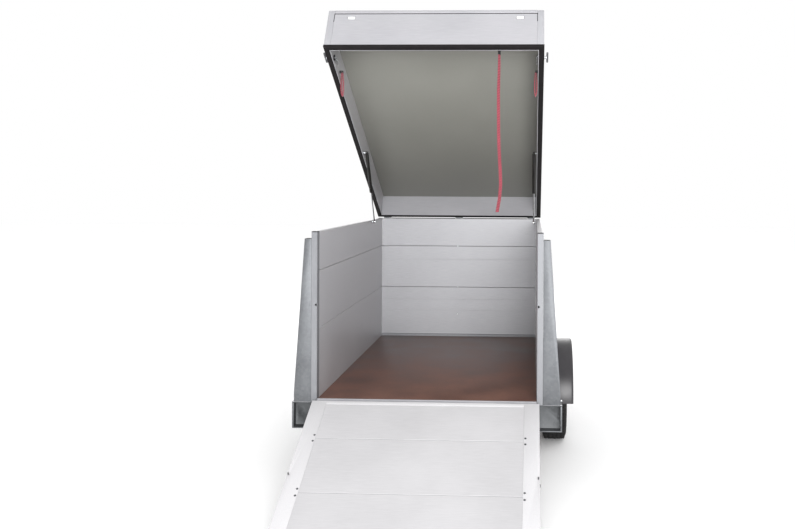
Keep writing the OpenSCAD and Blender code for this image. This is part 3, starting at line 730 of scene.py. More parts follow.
@dataclass
class Lugs:
    """Cuts a tyre's tread: rings of blocks round the x axis."""

    bench: Bench
    tree: bpy.types.NodeTree = field(init=False)

    def __post_init__(self) -> None:
        """Builds the tree: a circle's points take a block each, realised and painted."""
        tree = bpy.data.node_groups.new("tread ring", "GeometryNodeTree")
        face = tree.interface
        face.new_socket("Geometry", in_out="INPUT", socket_type="NodeSocketGeometry")
        for name in ("Radius", "Width", "Length", "Height", "Shift", "Skew", "Phase"):
            face.new_socket(name, in_out="INPUT", socket_type="NodeSocketFloat")
        face.new_socket("Count", in_out="INPUT", socket_type="NodeSocketInt")
        face.new_socket("Finish", in_out="INPUT", socket_type="NodeSocketMaterial")
        face.new_socket("Geometry", in_out="OUTPUT", socket_type="NodeSocketGeometry")
        given = add(tree, "NodeGroupInput")
        circle = add(tree, "GeometryNodeMeshCircle",
                     {"Vertices": given.outputs["Count"], "Radius": given.outputs["Radius"]})
        index = add(tree, "GeometryNodeInputIndex")
        share = add(tree, "ShaderNodeMath", {0: index.outputs[0], 1: given.outputs["Count"]},
                    operation="DIVIDE")
        angle = add(tree, "ShaderNodeMath", {0: share.outputs[0], 1: math.tau}, operation="MULTIPLY")
        heading = add(tree, "ShaderNodeCombineXYZ", {"Z": angle.outputs[0]})
        facing = add(tree, "FunctionNodeEulerToRotation", {"Euler": heading.outputs["Vector"]})
        slant = add(tree, "ShaderNodeCombineXYZ", {"X": given.outputs["Skew"]})
        slanted = add(tree, "FunctionNodeRotateRotation",
                      {"Rotation": facing.outputs["Rotation"],
                       "Rotate By": add(tree, "FunctionNodeEulerToRotation",
                                        {"Euler": slant.outputs["Vector"]}).outputs[0]},
                      rotation_space="LOCAL")
        size = add(tree, "ShaderNodeCombineXYZ",
                   {"X": given.outputs["Height"], "Y": given.outputs["Length"],
                                                  "Z": given.outputs["Width"]})
        lug = add(tree, "GeometryNodeMeshCube", {"Size": size.outputs["Vector"]})
        placed = add(tree, "GeometryNodeInstanceOnPoints",
                     {"Points": circle.outputs["Mesh"], "Instance": lug.outputs["Mesh"],
                                                             "Rotation": slanted.outputs["Rotation"]})
        solid = add(tree, "GeometryNodeRealizeInstances", {"Geometry": placed.outputs["Instances"]})
        shift = add(tree, "ShaderNodeCombineXYZ", {"Z": given.outputs["Shift"]})
        phase = add(tree, "ShaderNodeCombineXYZ", {"Z": given.outputs["Phase"]})
        shifted = add(tree, "GeometryNodeTransform",
                      {"Geometry": solid.outputs["Geometry"], "Translation": shift.outputs["Vector"],
                                                      "Rotation": phase.outputs["Vector"]})
        painted = add(tree, "GeometryNodeSetMaterial", {"Geometry": shifted.outputs["Geometry"],
                                                         "Material": given.outputs["Finish"]})
        add(tree, "NodeGroupOutput", {"Geometry": painted.outputs["Geometry"]})
        self.tree = tree

    def ring(self, finish: Finish, **sizes) -> bmesh.types.BMesh:
        """Makes one ring of lugs round the x axis.

        Args:
            finish: The rubber.
            **sizes: The tree's named inputs, in metres and radians.

        Returns:
            The ring's mesh.
        """
        holder = bpy.data.objects.new("ring", bpy.data.meshes.new("ring"))
        bpy.context.scene.collection.objects.link(holder)
        modifier = holder.modifiers.new("lugs", "NODES")
        modifier.node_group = self.tree
        Sockets.set(modifier, Finish=self.bench.shelf.get(finish), **sizes)
        bpy.context.view_layer.update()
        data = bpy.data.meshes.new_from_object(holder.evaluated_get(bpy.context.evaluated_depsgraph_get()))
        mesh = bmesh.new()
        mesh.from_mesh(data)
        bpy.data.objects.remove(holder)
        bpy.data.meshes.remove(data)
        return moved(mesh, turn(90, "Y"))


# ---------------------------------------------------------------- extrusions and sweeps

# Lay a flat outline's own x, y and depth along the trailer's x, z and y, or y, z and x.
ALONG_Y = Matrix(((1, 0, 0, 0), (0, 0, 1, 0), (0, 1, 0, 0), (0, 0, 0, 1)))
ALONG_X = Matrix(((0, 0, 1, 0), (1, 0, 0, 0), (0, 1, 0, 0), (0, 0, 0, 1)))


def extruded(outline: Outline, start: float, end: float, way: Matrix) -> bmesh.types.BMesh:
    """Draws an outline without holes out into a straight bar.

    Args:
        outline: Corners in order, in millimetres.
        start: Where the bar starts along its own length, in millimetres.
        end: Where it ends.
        way: How the outline lies on the trailer.

    Returns:
        The bar as a mesh.
    """
    mesh = bmesh.new()
    ends = [[mesh.verts.new((x * MM, y * MM, w * MM)) for x, y in outline] for w in (start, end)]
    count = len(outline)
    mesh.faces.new(ends[0])
    mesh.faces.new(ends[1])
    for i in range(count):
        j = (i + 1) % count
        mesh.faces.new((ends[0][i], ends[0][j], ends[1][j], ends[1][i]))
    bmesh.ops.transform(mesh, matrix=way, verts=mesh.verts[:])
    bmesh.ops.recalc_face_normals(mesh, faces=mesh.faces[:])
    return mesh


def swept(section: Outline, start: float, end: float, steps: int) -> bmesh.types.BMesh:
    """Sweeps a closed section round part of the x axis.

    Args:
        section: Corners as pairs of place along x and radius, in millimetres.
        start: Angle above +y where the sweep starts, in degrees.
        end: Angle where it ends.
        steps: Facets along the sweep.

    Returns:
        The swept bar as a mesh, closed at both ends.
    """
    mesh = bmesh.new()
    rings = []
    for k in range(steps + 1):
        angle = math.radians(start + (end - start) * k / steps)
        rings.append([mesh.verts.new((x * MM, r * MM * math.cos(angle), r * MM * math.sin(angle))) for x,
                      r in section])
    count = len(section)
    for first, second in zip(rings, rings[1:]):
        for i in range(count):
            j = (i + 1) % count
            mesh.faces.new((first[i], first[j], second[j], second[i]))
    mesh.faces.new(rings[0])
    mesh.faces.new(rings[-1])
    bmesh.ops.recalc_face_normals(mesh, faces=mesh.faces[:])
    return mesh


def pan_head(radius: float, height: float, steps: int = 14) -> bmesh.types.BMesh:
    """Makes a low domed head with a recess, standing along +x, in millimetres."""
    return turned([(-0.4, radius), (height * 0.45, radius), (height * 0.85, radius * 0.8),
                   (height, radius * 0.5),
                   (height, radius * 0.34), (height * 0.45, radius * 0.28)], steps)


# ---------------------------------------------------------------- body


@dataclass
class Walls:
    """Plank walls, their corner posts and the fittings on them."""

    bench: Bench
    places: Places
    screws: Fasteners
    half_in: float = 630.0
    thick: float = 30.0
    levels: tuple[float, ...] = (-18.0, 400.0, 735.0, 960.0)
    ribs: tuple[tuple[float, ...], ...] = ((210.0, 300.0), (625.0,), ())
    flutes: tuple[tuple[float, ...], ...] = ((120.0, 262.0), (512.0, 623.0), (847.0,))
    length: float = 2110.0
    post: tuple[float, float] = (35.0, 45.0)
    top: float = 962.0
    flap_x: tuple[float, float] = (32.0, 558.0)
    rivet_z: tuple[float, ...] = (180.0, 400.0, 735.0)
    latch: tuple[float, float, float] = (638.0, 541.0, 6.4)

    def plank(self, index: int, ribbed: bool) -> list[tuple[float, float]]:
        """Gives a plank's section: broken corners and shallow flutes outside.

        Args:
            index: The plank, counted from the floor.
            ribbed: Whether fine lines run along its inner face too.

        Returns:
            Corners as pairs of depth into the wall and height.
        """
        low, high = self.levels[index] + 0.6, self.levels[index + 1] - 0.6
        edge, deep, wide, t = 2.2, 0.7, 1.5, self.thick
        out = [(edge, low), (t - edge, low), (t, low + edge)]
        for z in self.flutes[index]:
            out += [(t, z - wide), (t - deep, z), (t, z + wide)]
        out += [(t, high - edge), (t - edge, high), (edge, high), (0.0, high - edge)]
        for z in reversed(self.ribs[index] if ribbed else ()):
            out += [(0.0, z + 1.2), (0.4, z), (0.0, z - 1.2)]
        return out + [(0.0, low + edge)]

    def sides(self) -> None:
        """Builds both side walls."""
        for side, mirror in SIDES:
            parts = []
            for index in range(3):
                shape = extruded(self.plank(index, False), self.post[1] + 0.4, self.length - 0.4, ALONG_Y)
                parts.append((moved(shape, self.places.body @ mirror @ spot(self.half_in, 0, 0)),
                              Shelf.plank_y))
            self.bench.piece(f"wall_{side}_planks", "chassis", parts, [f"wall_{side}"], "plank_aluminium",
                             smooth=12)

    def front(self) -> None:
        """Builds the front wall with its three rivets."""
        parts = []
        for index in range(3):
            shape = extruded(self.plank(index, True), 0.4 - self.half_in, self.half_in - 0.4, ALONG_X)
            parts.append((moved(shape, self.places.body @ spot(0, self.length, 0)), Shelf.plank_x))
        self.bench.piece("wall_front_planks", "chassis", parts, ["wall_front"], "plank_aluminium",
                         smooth=12)
        parts = []
        for x0, x1 in ((-self.flap_x[1], -self.flap_x[0]), self.flap_x):
            flap = block((x0, self.length + self.thick + 0.4, self.top - 30),
                         (x1, self.length + self.thick + 2.6, self.top + 2), 0.8)
            parts.append((moved(flap, self.places.body), Shelf.rubber))
        self.bench.piece("lid_gap_flap", "chassis", parts, (), "black_rubber")
        rows = [self.places.body @ spot(-6.0, self.length, z) for z in self.rivet_z]
        self.screws.place("wall_front_rivets", "chassis", pan_head(5.0, 2.6), Shelf.zinc,
                          [(m.translation, Vector((0, -1, 0))) for m in rows], slot="bright_zinc")

    def rear_posts(self) -> None:
        """Builds the rear posts with the bolt holes and their end caps."""
        wide, deep = self.post
        hole, bore = (self.latch[0] - self.half_in, self.latch[1]), self.latch[2]
        for side, mirror in SIDES:
            at = self.places.body @ mirror @ spot(self.half_in, 0, 0)
            post = plate([(0.0, -18.0), (wide, -18.0), (wide, self.top - 4), (0.0, self.top - 4)], deep,
                         [disc_outline(bore, 20, *hole)], 0.6)
            parts = [(moved(post, at @ ALONG_Y), Shelf.profile),
                     # Painted highlight: a strip of the paler lid-rail aluminium along the post's inner
                     # rear edge stands in for the light that edge catches.
                     (moved(block((0.0, -0.0, -17.0), (3.0, 3.4, self.top - 4.5), 0.9), at), Shelf.rail),
                     (moved(turned([(deep - 4, bore - 0.05), (deep - 1, bore - 0.05)], 20),
                            at @ spot(hole[0], 0, hole[1]) @ turn(90, "Z")),
                      Shelf.shade),
                     (moved(block((0.2, 0.2, self.top - 4), (wide - 0.2, deep - 0.2, self.top), 1.4), at),
                      Shelf.nylon)]
            self.bench.piece(f"rear_post_{side}", "chassis", parts,
                             ["rear_posts"] if side == "right" else (),
                             "profile_aluminium")

    def build(self) -> None:
        """Builds every wall and post."""
        self.sides()
        self.front()
        self.rear_posts()
        self.bench.soften("front_posts", "chassis", Shelf.profile, 1.0, "profile_aluminium")
        self.bench.soften("front_stake", "chassis", Shelf.galvanised, 0.8, "galvanised_steel")


@dataclass
class Deck:
    """Floor board and the strips round it."""

    bench: Bench
    places: Places
    half: float = 629.6
    length: float = 2110.0

    def build(self) -> None:
        """Builds the board, the rear edge strip and the strip along the front wall's foot."""
        board = block((-self.half, 12.4, -15.0), (self.half, self.length - 14.4, 0.0), 0.8)
        self.bench.piece("floor_panel", "chassis", [(moved(board, self.places.body), Shelf.floor)],
                         ["floor_board"],
                         "phenolic_plywood")
        rear = [(-18.0, 0.0), (2.0, 0.0), (2.0, 3.0), (1.2, 12.0), (-18.0, 12.0)]
        strip = extruded([(y, z) for z, y in rear], -self.half, self.half, ALONG_X)
        dark = block((-self.half, 12.1, -2.0), (self.half, 15.0, 0.3), 0.1)
        foot = extruded([(self.length - 14, -15), (self.length - 14, 15.5), (self.length - 11.5, 18),
                         (self.length - 0.4, 18), (self.length - 0.4, -15)], -self.half, self.half, ALONG_X)
        self.bench.piece("floor_strips", "chassis", [(moved(strip, self.places.body), Shelf.rail),
                                                     (moved(dark, self.places.body), Shelf.shade),
                                                     (moved(foot, self.places.body), Shelf.profile)],
                                                     ["floor_trim"],
                         "profile_aluminium")


@dataclass
class Brackets:
    """Gussets beside the rear posts and the lamp boxes under them."""

    bench: Bench
    places: Places
    screws: Fasteners
    head: tuple[float, float] = (705.0, 919.0)
    rivet_z: tuple[float, ...] = (60.0, 300.0, 540.0, 780.0)
    lamp_screw_z: tuple[float, float] = (-113.0, -90.0)

    def build(self) -> None:
        """Builds the gussets, their top caps, the lamp boxes and the bolts."""
        self.bench.soften("gussets", "chassis", Shelf.galvanised, 0.9, "galvanised_steel")
        # Painted shade: the lamp boxes take the darker axle zinc so that their insides look dim.
        self.bench.soften("lamp_boxes", "chassis", Shelf.axle, 0.8, "galvanised_steel")
        caps, bolts, studs, lips = [], [], [], []
        for _, mirror in SIDES:
            at = self.places.body @ mirror
            cap = block((665.6, 0.4, self.head[1]), (self.head[0] - 0.4, 61.6, self.head[1] + 1.6), 0.6)
            caps.append((moved(cap, at), Shelf.nylon))
            for z in self.rivet_z:
                bolts.append(((at @ spot(674.0, 0, z)).translation, Vector((0, -1, 0))))
            # Painted highlight: the lamp box's top flange, where it catches the light, is drawn in the
            # paler lid-rail aluminium instead of galvanised steel.
            lip = block((666.0, 0.2, -21.2), (774.6, 4.0, -14.6), 0.6)
            lips.append((moved(lip, at), Shelf.rail))
            for z in self.lamp_screw_z:
                studs.append(((at @ spot(757.0, 72.0, z)).translation, Vector((0, -1, 0))))
            for low, high in (((644.0, 0.1, -170.0), (774.8, 3.0, -164.4)),
                              ((766.0, 0.1, -164.0), (774.8, 2.2, -24.0))):
                lips.append((moved(block(low, high, 0.6), at), Shelf.galvanised))
        self.bench.piece("lamp_box_lips", "chassis", lips, (), "galvanised_steel")
        self.bench.piece("gusset_caps", "chassis", caps, (), "black_plastic")
        self.screws.place("lamp_box_screws", "chassis", pan_head(5.0, 2.4, 12), Shelf.axle, studs,
                          slot="axle_steel")
        self.screws.place("gusset_rivets", "chassis", pan_head(3.4, 1.8, 12), Shelf.galvanised, bolts,
                          slot="galvanised_steel")


# ---------------------------------------------------------------- frame and drawbar


@dataclass
class Underframe:
    """Galvanised rails, cross channels, drawbar, axle and their bolts."""

    bench: Bench
    plain: tuple[tuple[str, str, float], ...] = (
        ("side_rails", "galvanised_steel", 1.2), ("cross_members", "galvanised_steel", 0.8),
        ("drawbar", "galvanised_steel", 1.5), ("lid_hinge_bases", "galvanised_steel", 0.7),
        ("ramp_hinge_bases", "galvanised_steel", 0.8), ("mudguard_stays", "galvanised_steel", 0.8),
        ("jockey_clamp", "galvanised_steel", 1.0))

    def build(self) -> None:
        """Breaks the edges of every rolled or folded piece."""
        for node, slot, edge in self.plain:
            self.bench.soften(node, "chassis", Shelf.galvanised, edge, slot)
        self.bench.soften("axle_tube", "chassis", Shelf.axle, 1.2, "axle_steel")
        self.bench.soften("torsion_cords", "chassis", Shelf.rubber, 0.6, "black_rubber")
        self.bench.soften("frame_bolts", "chassis", Shelf.zinc, 0.6, "bright_zinc")
        self.bench.soften("hinge_pins", "chassis", Shelf.zinc, 0.6, "bright_zinc")
        self.bench.soften("strut_wall_studs", "chassis", Shelf.zinc, 0.5, "bright_zinc")
        for side in ("left", "right"):
            self.bench.soften(f"swing_arm_{side}", f"swing_arm_{side}", Shelf.axle, 2.0, "axle_steel")


@dataclass
class Coupling:
    """Coupling head, its lever and the jockey wheel."""

    bench: Bench

    def build(self) -> None:
        """Dresses the coupling and every part of the jockey wheel."""
        self.bench.soften("coupling_head", "chassis", Shelf.cast, 2.5, "cast_coupling")
        self.bench.soften("coupling_lever", "coupling_lever", Shelf.red_coat, 2.5, "lever_red")
        for node, body, finish, slot, edge in (
                ("jockey_mast", "jockey_mast", Shelf.zinc, "bright_zinc", 1.0),
                ("jockey_crank", "jockey_crank", Shelf.powder, "black_steel", 1.6),
                ("jockey_leg", "jockey_leg", Shelf.zinc, "bright_zinc", 1.0),
                ("jockey_fork", "jockey_fork", Shelf.galvanised, "galvanised_steel", 0.8),
                ("jockey_rim", "jockey_wheel", Shelf.nylon, "black_plastic", 1.0),
                ("jockey_tyre", "jockey_wheel", Shelf.tyre, "black_rubber", 2.0)):
            self.bench.soften(node, body, finish, edge, slot)


# ---------------------------------------------------------------- lid


@dataclass
class Lid:
    """Hard lid: rim of rails and corners, roof sheet, seal and fittings."""

    bench: Bench
    places: Places
    half: float = 666.0
    rail: float = 30.0
    length: float = 2180.0
    front: float = 10.0
    corner: float = 40.0
    height: float = 283.0
    strip: float = 25.0
    slot: tuple[float, float, float, float] = (519.6, 49.0, 21.0, 50.0)
    lock: tuple[float, float] = (2030.0, 32.0)
    loop_outer: Outline = (
        (8.0, 0.0), (13.0, 0.0), (17.0, -22.0), (20.6, -70.0), (20.8, -115.0), (18.5, -142.0),
        (12.5, -160.0), (7.0, -164.5), (2.5, -150.0), (0.4, -120.0), (0.8, -70.0), (4.0, -22.0))
    loop_inner: Outline = (
        (10.0, -12.0), (11.0, -12.0), (12.8, -26.0), (14.6, -70.0), (14.6, -112.0), (13.0, -134.0),
        (10.6, -144.0), (8.6, -146.0), (7.4, -138.0), (6.4, -116.0), (6.8, -70.0), (8.4, -26.0))

    def fascia(self) -> None:
        """Builds the rear rail, with its plugged vents and top strip, and the front rail."""
        span = self.half - self.corner - 0.4
        groove = self.height - self.strip - 6.0
        out = [(-span, 0.0), (span, 0.0), (span, groove), (-span, groove)]
        x, wide, high, drop = self.slot
        holes = [oblong(wide, high, 3.0, 4, side * x, self.height - drop - high / 2) for side in (-1, 1)]
        parts = []
        for y, cut in ((-self.length, holes), (-self.front - self.rail, [])):
            at = self.places.lid @ spot(0, y, 0)
            parts.append((moved(plate(out, self.rail, cut, 1.0), at @ ALONG_Y), Shelf.rail))
            for side in (-1, 1):
                joint = block((side * span - 2, -0.25, self.height - 92),
                              (side * span + 2, 1.0, self.height - self.strip), 0.1)
                parts.append((moved(joint, at), Shelf.shade))
            parts.append((moved(block((-span, 2.2, groove - 1),
                                      (span, self.rail - 2.2, self.height - self.strip + 1), 0.1),
                                at), Shelf.shade))
            parts.append((moved(block((-span, 0, self.height - self.strip), (span, self.rail, self.height),
                                      2.4), at),
                          Shelf.rail))
        self.bench.piece("lid_cross_rails", "lid", parts, ["lid_end_rails"], "lid_aluminium")
        plugs = [plate(oblong(wide - 6, high - 4, 4.0, 4, side * x, self.height - drop - high / 2), 6.0, [],
                       0.8)
                 for side in (-1, 1)]
        self.bench.piece("vent_plugs", "lid",
                         [(moved(plug, self.places.lid @ spot(0, 0.6 - self.length, 0) @ ALONG_Y),
                                                Shelf.white) for plug in plugs])

    def sides(self) -> None:
        """Builds the side rails, each with its lock hole."""
        u0, u1 = -self.length + self.corner + 0.4, -self.front - self.corner - 0.4
        groove = self.height - self.strip - 3.5
        parts = []
        for _, mirror in SIDES:
            at = self.places.lid @ mirror @ spot(self.half - self.rail, 0, 0)
            skin = plate([(u0, 0.0), (u1, 0.0), (u1, groove), (u0, groove)], self.rail,
                         [disc_outline(9.0, 24, -self.lock[0], self.lock[1])], 1.0)
            parts.append((moved(skin, at @ ALONG_X), Shelf.plank_y))
            parts.append((moved(block((2.2, u0, groove - 1),
                                      (self.rail - 2.2, u1, self.height - self.strip + 1), 0.1), at),
                          Shelf.shade))
            parts.append((moved(block((0, u0, self.height - self.strip), (self.rail, u1, self.height), 2.4),
                                at),
                          Shelf.plank_y))
        self.bench.piece("lid_long_rails", "lid", parts, ["lid_side_rails"], "lid_aluminium")

    def corners(self) -> None:
        """Builds the corner posts with a chamfered outer top edge."""
        parts = []
        a, c = self.rail, self.corner
        for _, mirror in SIDES:
            for y, back in ((-self.length, 1), (-self.front, -1)):
                at = self.places.lid @ mirror @ spot(self.half - c, y, 0)
                shape = [(0.0, 0.0), (c - 3, 0.0), (c, 3.0), (c, c), (c - a, c), (c - a, a), (0.0, a)]
                flip = Matrix.Identity(4) if back > 0 else Matrix.Diagonal((1, -1, 1, 1))
                mesh = extruded(shape, 0.0, self.height, Matrix.Identity(4))
                top = [e for e in mesh.edges if all(v.co.z > (self.height - 1) * MM for v in e.verts)
                       and all(v.co.x > (c - 3.1) * MM or v.co.y < 3.1 * MM for v in e.verts)]
                bmesh.ops.bevel(mesh, geom=top, offset=5 * MM, segments=2, profile=0.5, affect="EDGES")
                parts.append((moved(mesh, at @ flip), Shelf.corner))
        self.bench.piece("lid_corner_posts", "lid", parts, ["lid_corners"], "profile_aluminium")

    def ring(self, inset: float) -> list[tuple[float, float]]:
        """Gives the rim's outline, moved in by a distance in millimetres."""
        x, back, ahead = self.half - inset, -self.length + inset, -self.front - inset
        return [(-x, back), (x, back), (x, ahead), (-x, ahead)]

    def seal(self) -> None:
        """Builds the hollow rubber seal under the rim and its thin metal retaining lip."""
        body = plate(self.ring(0.0), 7.0, [self.ring(self.rail)], 2.0)
        skirt, edge = self.ring(-1.6), self.ring(-0.1)
        skirt[2:] = [(x, -self.front - 0.6) for x, _ in skirt[2:]]
        edge[2:] = [(x, -self.front - 3.0) for x, _ in edge[2:]]
        outside = plate(skirt, 16.0, [edge], 0.6)
        flap = plate(self.ring(self.rail - 1.0), 7.0, [self.ring(self.rail + 1.6)], 1.0)
        metal = plate(self.ring(self.rail + 1.6), 5.0, [self.ring(self.rail + 5.6)], 0.5)
        self.bench.piece("lid_seal_rubber", "lid",
                         [(moved(body, self.places.lid @ spot(0, 0, -7.4)), Shelf.rubber),
                          (moved(outside, self.places.lid @ spot(0, 0, -5.0)), Shelf.rubber),
                          (moved(flap, self.places.lid @ spot(0, 0, -7.2)), Shelf.rubber)], ["lid_seal"],
                          "black_rubber")
        self.bench.piece("lid_seal_lip", "lid",
                         [(moved(metal, self.places.lid @ spot(0, 0, -7.0)), Shelf.rail)], (),
                         "lid_aluminium")

    def locks(self) -> None:
        """Builds the lock bodies and their T handles."""
        x0, x1 = self.half - self.rail, self.half
        bodies = []
        for side, mirror in SIDES:
            at = self.places.lid @ mirror @ spot(0, -self.lock[0], self.lock[1])
            bodies.append((moved(turned([(x0 - 8, 10), (x0 - 8, 15), (x0 - 6, 18), (x0 - 0.4, 18),
                                         (x0 - 0.4, 8.6),
                                         (x1 + 0.4, 8.6), (x1 + 0.4, 15), (x1 + 2, 14.6), (x1 + 3, 13),
                                         (x1 + 3, 6)], 40),
                                 at), Shelf.nylon))
            handle = [(moved(rod(x0 - 16, x1 + 20, 5.0), at), Shelf.zinc),
                      (moved(turned([(x1 + 11, 5.0), (x1 + 11, 9), (x1 + 13, 11), (x1 + 17, 11),
                                     (x1 + 17, 5.0)], 32), at),
                       Shelf.zinc),
                      (moved(block((x1 + 15, -45, -6.5), (x1 + 27, 45, 6.5), 4.0, 4), at), Shelf.grey),
                      (moved(block((x0 - 15, -10, -10), (x0 - 9, 58, 10), 2.2, 3), at), Shelf.zinc)]
            self.bench.piece(f"lock_t_handle_{side}", f"lock_{side}", handle, [f"lock_handle_{side}"],
                             "black_steel")
        self.bench.piece("lock_bodies", "lid", bodies, ["lock_housings"], "black_plastic")

    def straps(self) -> None:
        """Builds the clip that holds the pull strap and the two webbing loops."""
        y0 = -self.length + self.rail + 0.4
        clip = [(moved(block((383, y0, 2), (409, y0 + 23.6, 30), 3.0, 3), self.places.lid), Shelf.nylon),
                (moved(block((387, y0 + 4, 0.5), (405, y0 + 20, 3), 1.0), self.places.lid), Shelf.nylon)]
        self.bench.piece("strap_clip", "lid", clip, ["strap_anchor"], "black_plastic")
        loops = []
        for _, mirror in SIDES:
            at = self.places.level @ mirror @ spot(607, -1577, 987)
            loops.append((moved(plate(self.loop_outer, 24.0, [self.loop_inner], 0.4),
                                at @ spot(0, -12, 0) @ ALONG_Y), Shelf.tape))
            loops.append((moved(block((6, -13, -13), (28.6, 13, 2), 2.5), at), Shelf.nylon))
        self.bench.piece("hand_loops", "lid", loops, ["grab_loops"], "red_webbing")

    def build(self) -> None:
        """Builds the whole lid."""
        self.bench.soften("lid_roof", "lid", Shelf.roof, 0.5, "roof_sheet")
        self.fascia()
        self.sides()
        self.corners()
        self.seal()
        self.bench.soften("lid_hinge_leaves", "lid", Shelf.galvanised, 0.6, "galvanised_steel")
        self.locks()
        self.straps()
        self.bench.soften("lid_strut_studs", "lid", Shelf.zinc, 0.5, "bright_zinc")


@dataclass
class PullStrap:
    """Flat webbing that hangs from the lid's rear rail."""

    bench: Bench
    places: Places
    x: float = 396.0
    y: float = -1846.0
    top: float = 1080.0
    length: float = 980.0
    width: float = 20.0
    thick: float = 2.4
    twist: float = 50.0
    sway: tuple[float, ...] = (0.0, 0.0, -2.0, -4.0, -4.0, -3.0, -2.0, 0.0, 4.0, 9.0, 12.0, 5.0, -9.0)

    def build(self) -> None:
        spans = len(self.sway) - 1
        path = [self.places.level @ (Vector((self.x + sway, self.y,
                                             self.top - self.length * i / spans)) * MM)
                for i, sway in enumerate(self.sway)]
        steps, sides = 96, 12
        mesh = bmesh.new()
        rings = []
        for k in range(steps + 1):
            share = k / steps * spans
            i = min(spans - 1, int(share))
            centre = path[i].lerp(path[i + 1], share - i)
            twist = math.radians(self.twist * max(0.0, 1.0 - share / 7.0))
            wide = Vector((math.cos(twist), math.sin(twist), 0.0)) * self.width / 2 * MM
            deep = Vector((-math.sin(twist), math.cos(twist), 0.0)) * self.thick / 2 * MM
            ring = []
            for m in range(sides):
                angle = math.tau * m / sides
                c, d = math.cos(angle), math.sin(angle)
                ring.append(mesh.verts.new(centre + wide * math.copysign(abs(c) ** 0.35, c)
                                           + deep * math.copysign(abs(d) ** 0.5, d)))
            rings.append(ring)
        for first, second in zip(rings, rings[1:]):
            for m in range(sides):
                mesh.faces.new((first[m], first[(m + 1) % sides], second[(m + 1) % sides], second[m]))
        mesh.faces.new(rings[0])
        mesh.faces.new(rings[-1])
        bmesh.ops.recalc_face_normals(mesh, faces=mesh.faces[:])
        strap = self.bench.piece("pull_strap_webbing", "lid", [(mesh, Shelf.tape)], ["pull_strap"],
                                 "red_webbing")
        at = Matrix.Translation(path[0]) @ turn(self.twist, "Z")
        sleeve = self.bench.piece("pull_strap_sleeve", "lid",
                                  [(moved(block((-10.6, -2.6, -30), (10.6, 2.6, -4), 1.6, 3), at),
                                    Shelf.nylon)], (),
                                  "black_plastic")


@dataclass
class Struts:
    """Gas struts that hold the lid."""

    bench: Bench

    def build(self) -> None:
        """Dresses both cylinders and both rods."""
        for side in ("left", "right"):
            self.bench.soften(f"strut_cylinder_{side}", f"strut_cylinder_{side}", Shelf.powder, 1.5,
                              "black_steel")
            self.bench.soften(f"strut_rod_{side}", f"strut_rod_{side}", Shelf.rod, 0.8, "strut_rod_steel")


# ---------------------------------------------------------------- ramp


@dataclass
class Ramp:
    """Loading ramp: two rails, three wide planks and spring bolts."""

    bench: Bench
    places: Places
    screws: Fasteners
    half: float = 645.0
    rail: float = 85.0
    thick: float = 30.0
    joints: tuple[float, ...] = (30.0, 300.0, 680.0, 959.0)
    screw_x: float = 569.0
    screw_s: tuple[float, ...] = (278.0, 322.0, 658.0, 702.0, 938.0)

    def planks(self) -> None:
        """Builds the three planks, with dark joints between them."""
        inner = self.half - self.rail - 0.4
        parts = []
        for near, far in zip(self.joints, self.joints[1:]):
            near, far = near + 1.0, far - 1.0
            outline = [(-near, 27.4), (-near - 2.2, 28.6), (-far + 2.2, 28.6), (-far, 27.4), (-far, 4.0),
                       (-near, 4.0)]
            parts.append((moved(extruded(outline, -inner, inner, ALONG_X), self.places.ramp), Shelf.ramp_x))
        for joint in self.joints[1:-1]:
            bed = block((-inner, -joint - 1.4, 8.0), (inner, -joint + 1.4, 26.4), 0.1)
            parts.append((moved(bed, self.places.ramp), Shelf.profile))
        self.bench.piece("ramp_boards", "ramp", parts, ["ramp_planks"], "ramp_aluminium", smooth=12)

    def build(self) -> None:
        """Builds the ramp with its screws and bolts."""
        self.planks()
        self.bench.soften("ramp_frame", "ramp", Shelf.ramp_y, 1.6, "ramp_aluminium")
        rows = []
        for side in (-1, 1):
            for s in self.screw_s:
                rows.append((self.places.ramp @ (Vector((side * self.screw_x, -s, self.thick)) * MM),
                             self.places.ramp.to_3x3() @ Vector((0, 0, 1))))
        self.screws.place("ramp_screws", "ramp", pan_head(6.0, 2.4), Shelf.axle, rows, slot="axle_steel")
        for side in ("left", "right"):
            self.bench.soften(f"ramp_latch_{side}", f"ramp_latch_{side}", Shelf.grey, 1.0, "black_plastic")


# ---------------------------------------------------------------- running gear


@dataclass
class Guards:
    """Moulded mudguards with a rolled outer lip."""

    bench: Bench
    places: Places
    screws: Fasteners
    centre: tuple[float, float] = (920.0, -145.4)
    radius: float = 345.0
    inner: float = 664.0
    outer: float = 868.0
    stay: float = 345.0
    bolt_x: tuple[float, float] = (700.0, 790.0)

    def build(self) -> None:
        """Sweeps each guard's section over the wheel and bolts it to its stays."""
        r, a, b = self.radius, self.inner, self.outer
        section = [(a, r - 4), (a, r - 1), (a + 2, r), (b - 14, r), (b - 7, r - 1.8), (b - 2, r - 6),
                   (b - 0.3, r - 12),
                   (b, r - 26), (b - 1, r - 28), (b - 4, r - 28), (b - 4.2, r - 14), (b - 8, r - 7.5),
                   (b - 15, r - 4)]
        bolts = []
        for side, mirror in SIDES:
            at = self.places.body @ mirror @ spot(0, *self.centre)
            shell = swept(section, -1.33, 181.33, 96)
            bead = swept([(b - 26, r - 0.6), (b - 26, r + 0.0), (b - 23.5, r + 0.0), (b - 23.5, r - 0.6)],
                         -1.2, 181.2, 96)
            self.bench.piece(f"mudguard_{side}", "chassis",
                             [(moved(shell, at), Shelf.guard), (moved(bead, at), Shelf.guard)],
                             ["mudguards"] if side == "right" else (), "guard_plastic")
            for facing in (-1, 1):
                for x in self.bolt_x:
                    place = self.places.body @ mirror @ spot(x, self.centre[0] + facing * self.stay,
                                                             self.centre[1] + 10)
                    bolts.append((place.translation, Vector((0, facing, 0))))
        self.screws.place("mudguard_bolts", "chassis", pan_head(7.0, 3.0, 16), Shelf.zinc,
                          [(p + n * -0.0008, n) for p, n in bolts], slot="bright_zinc")


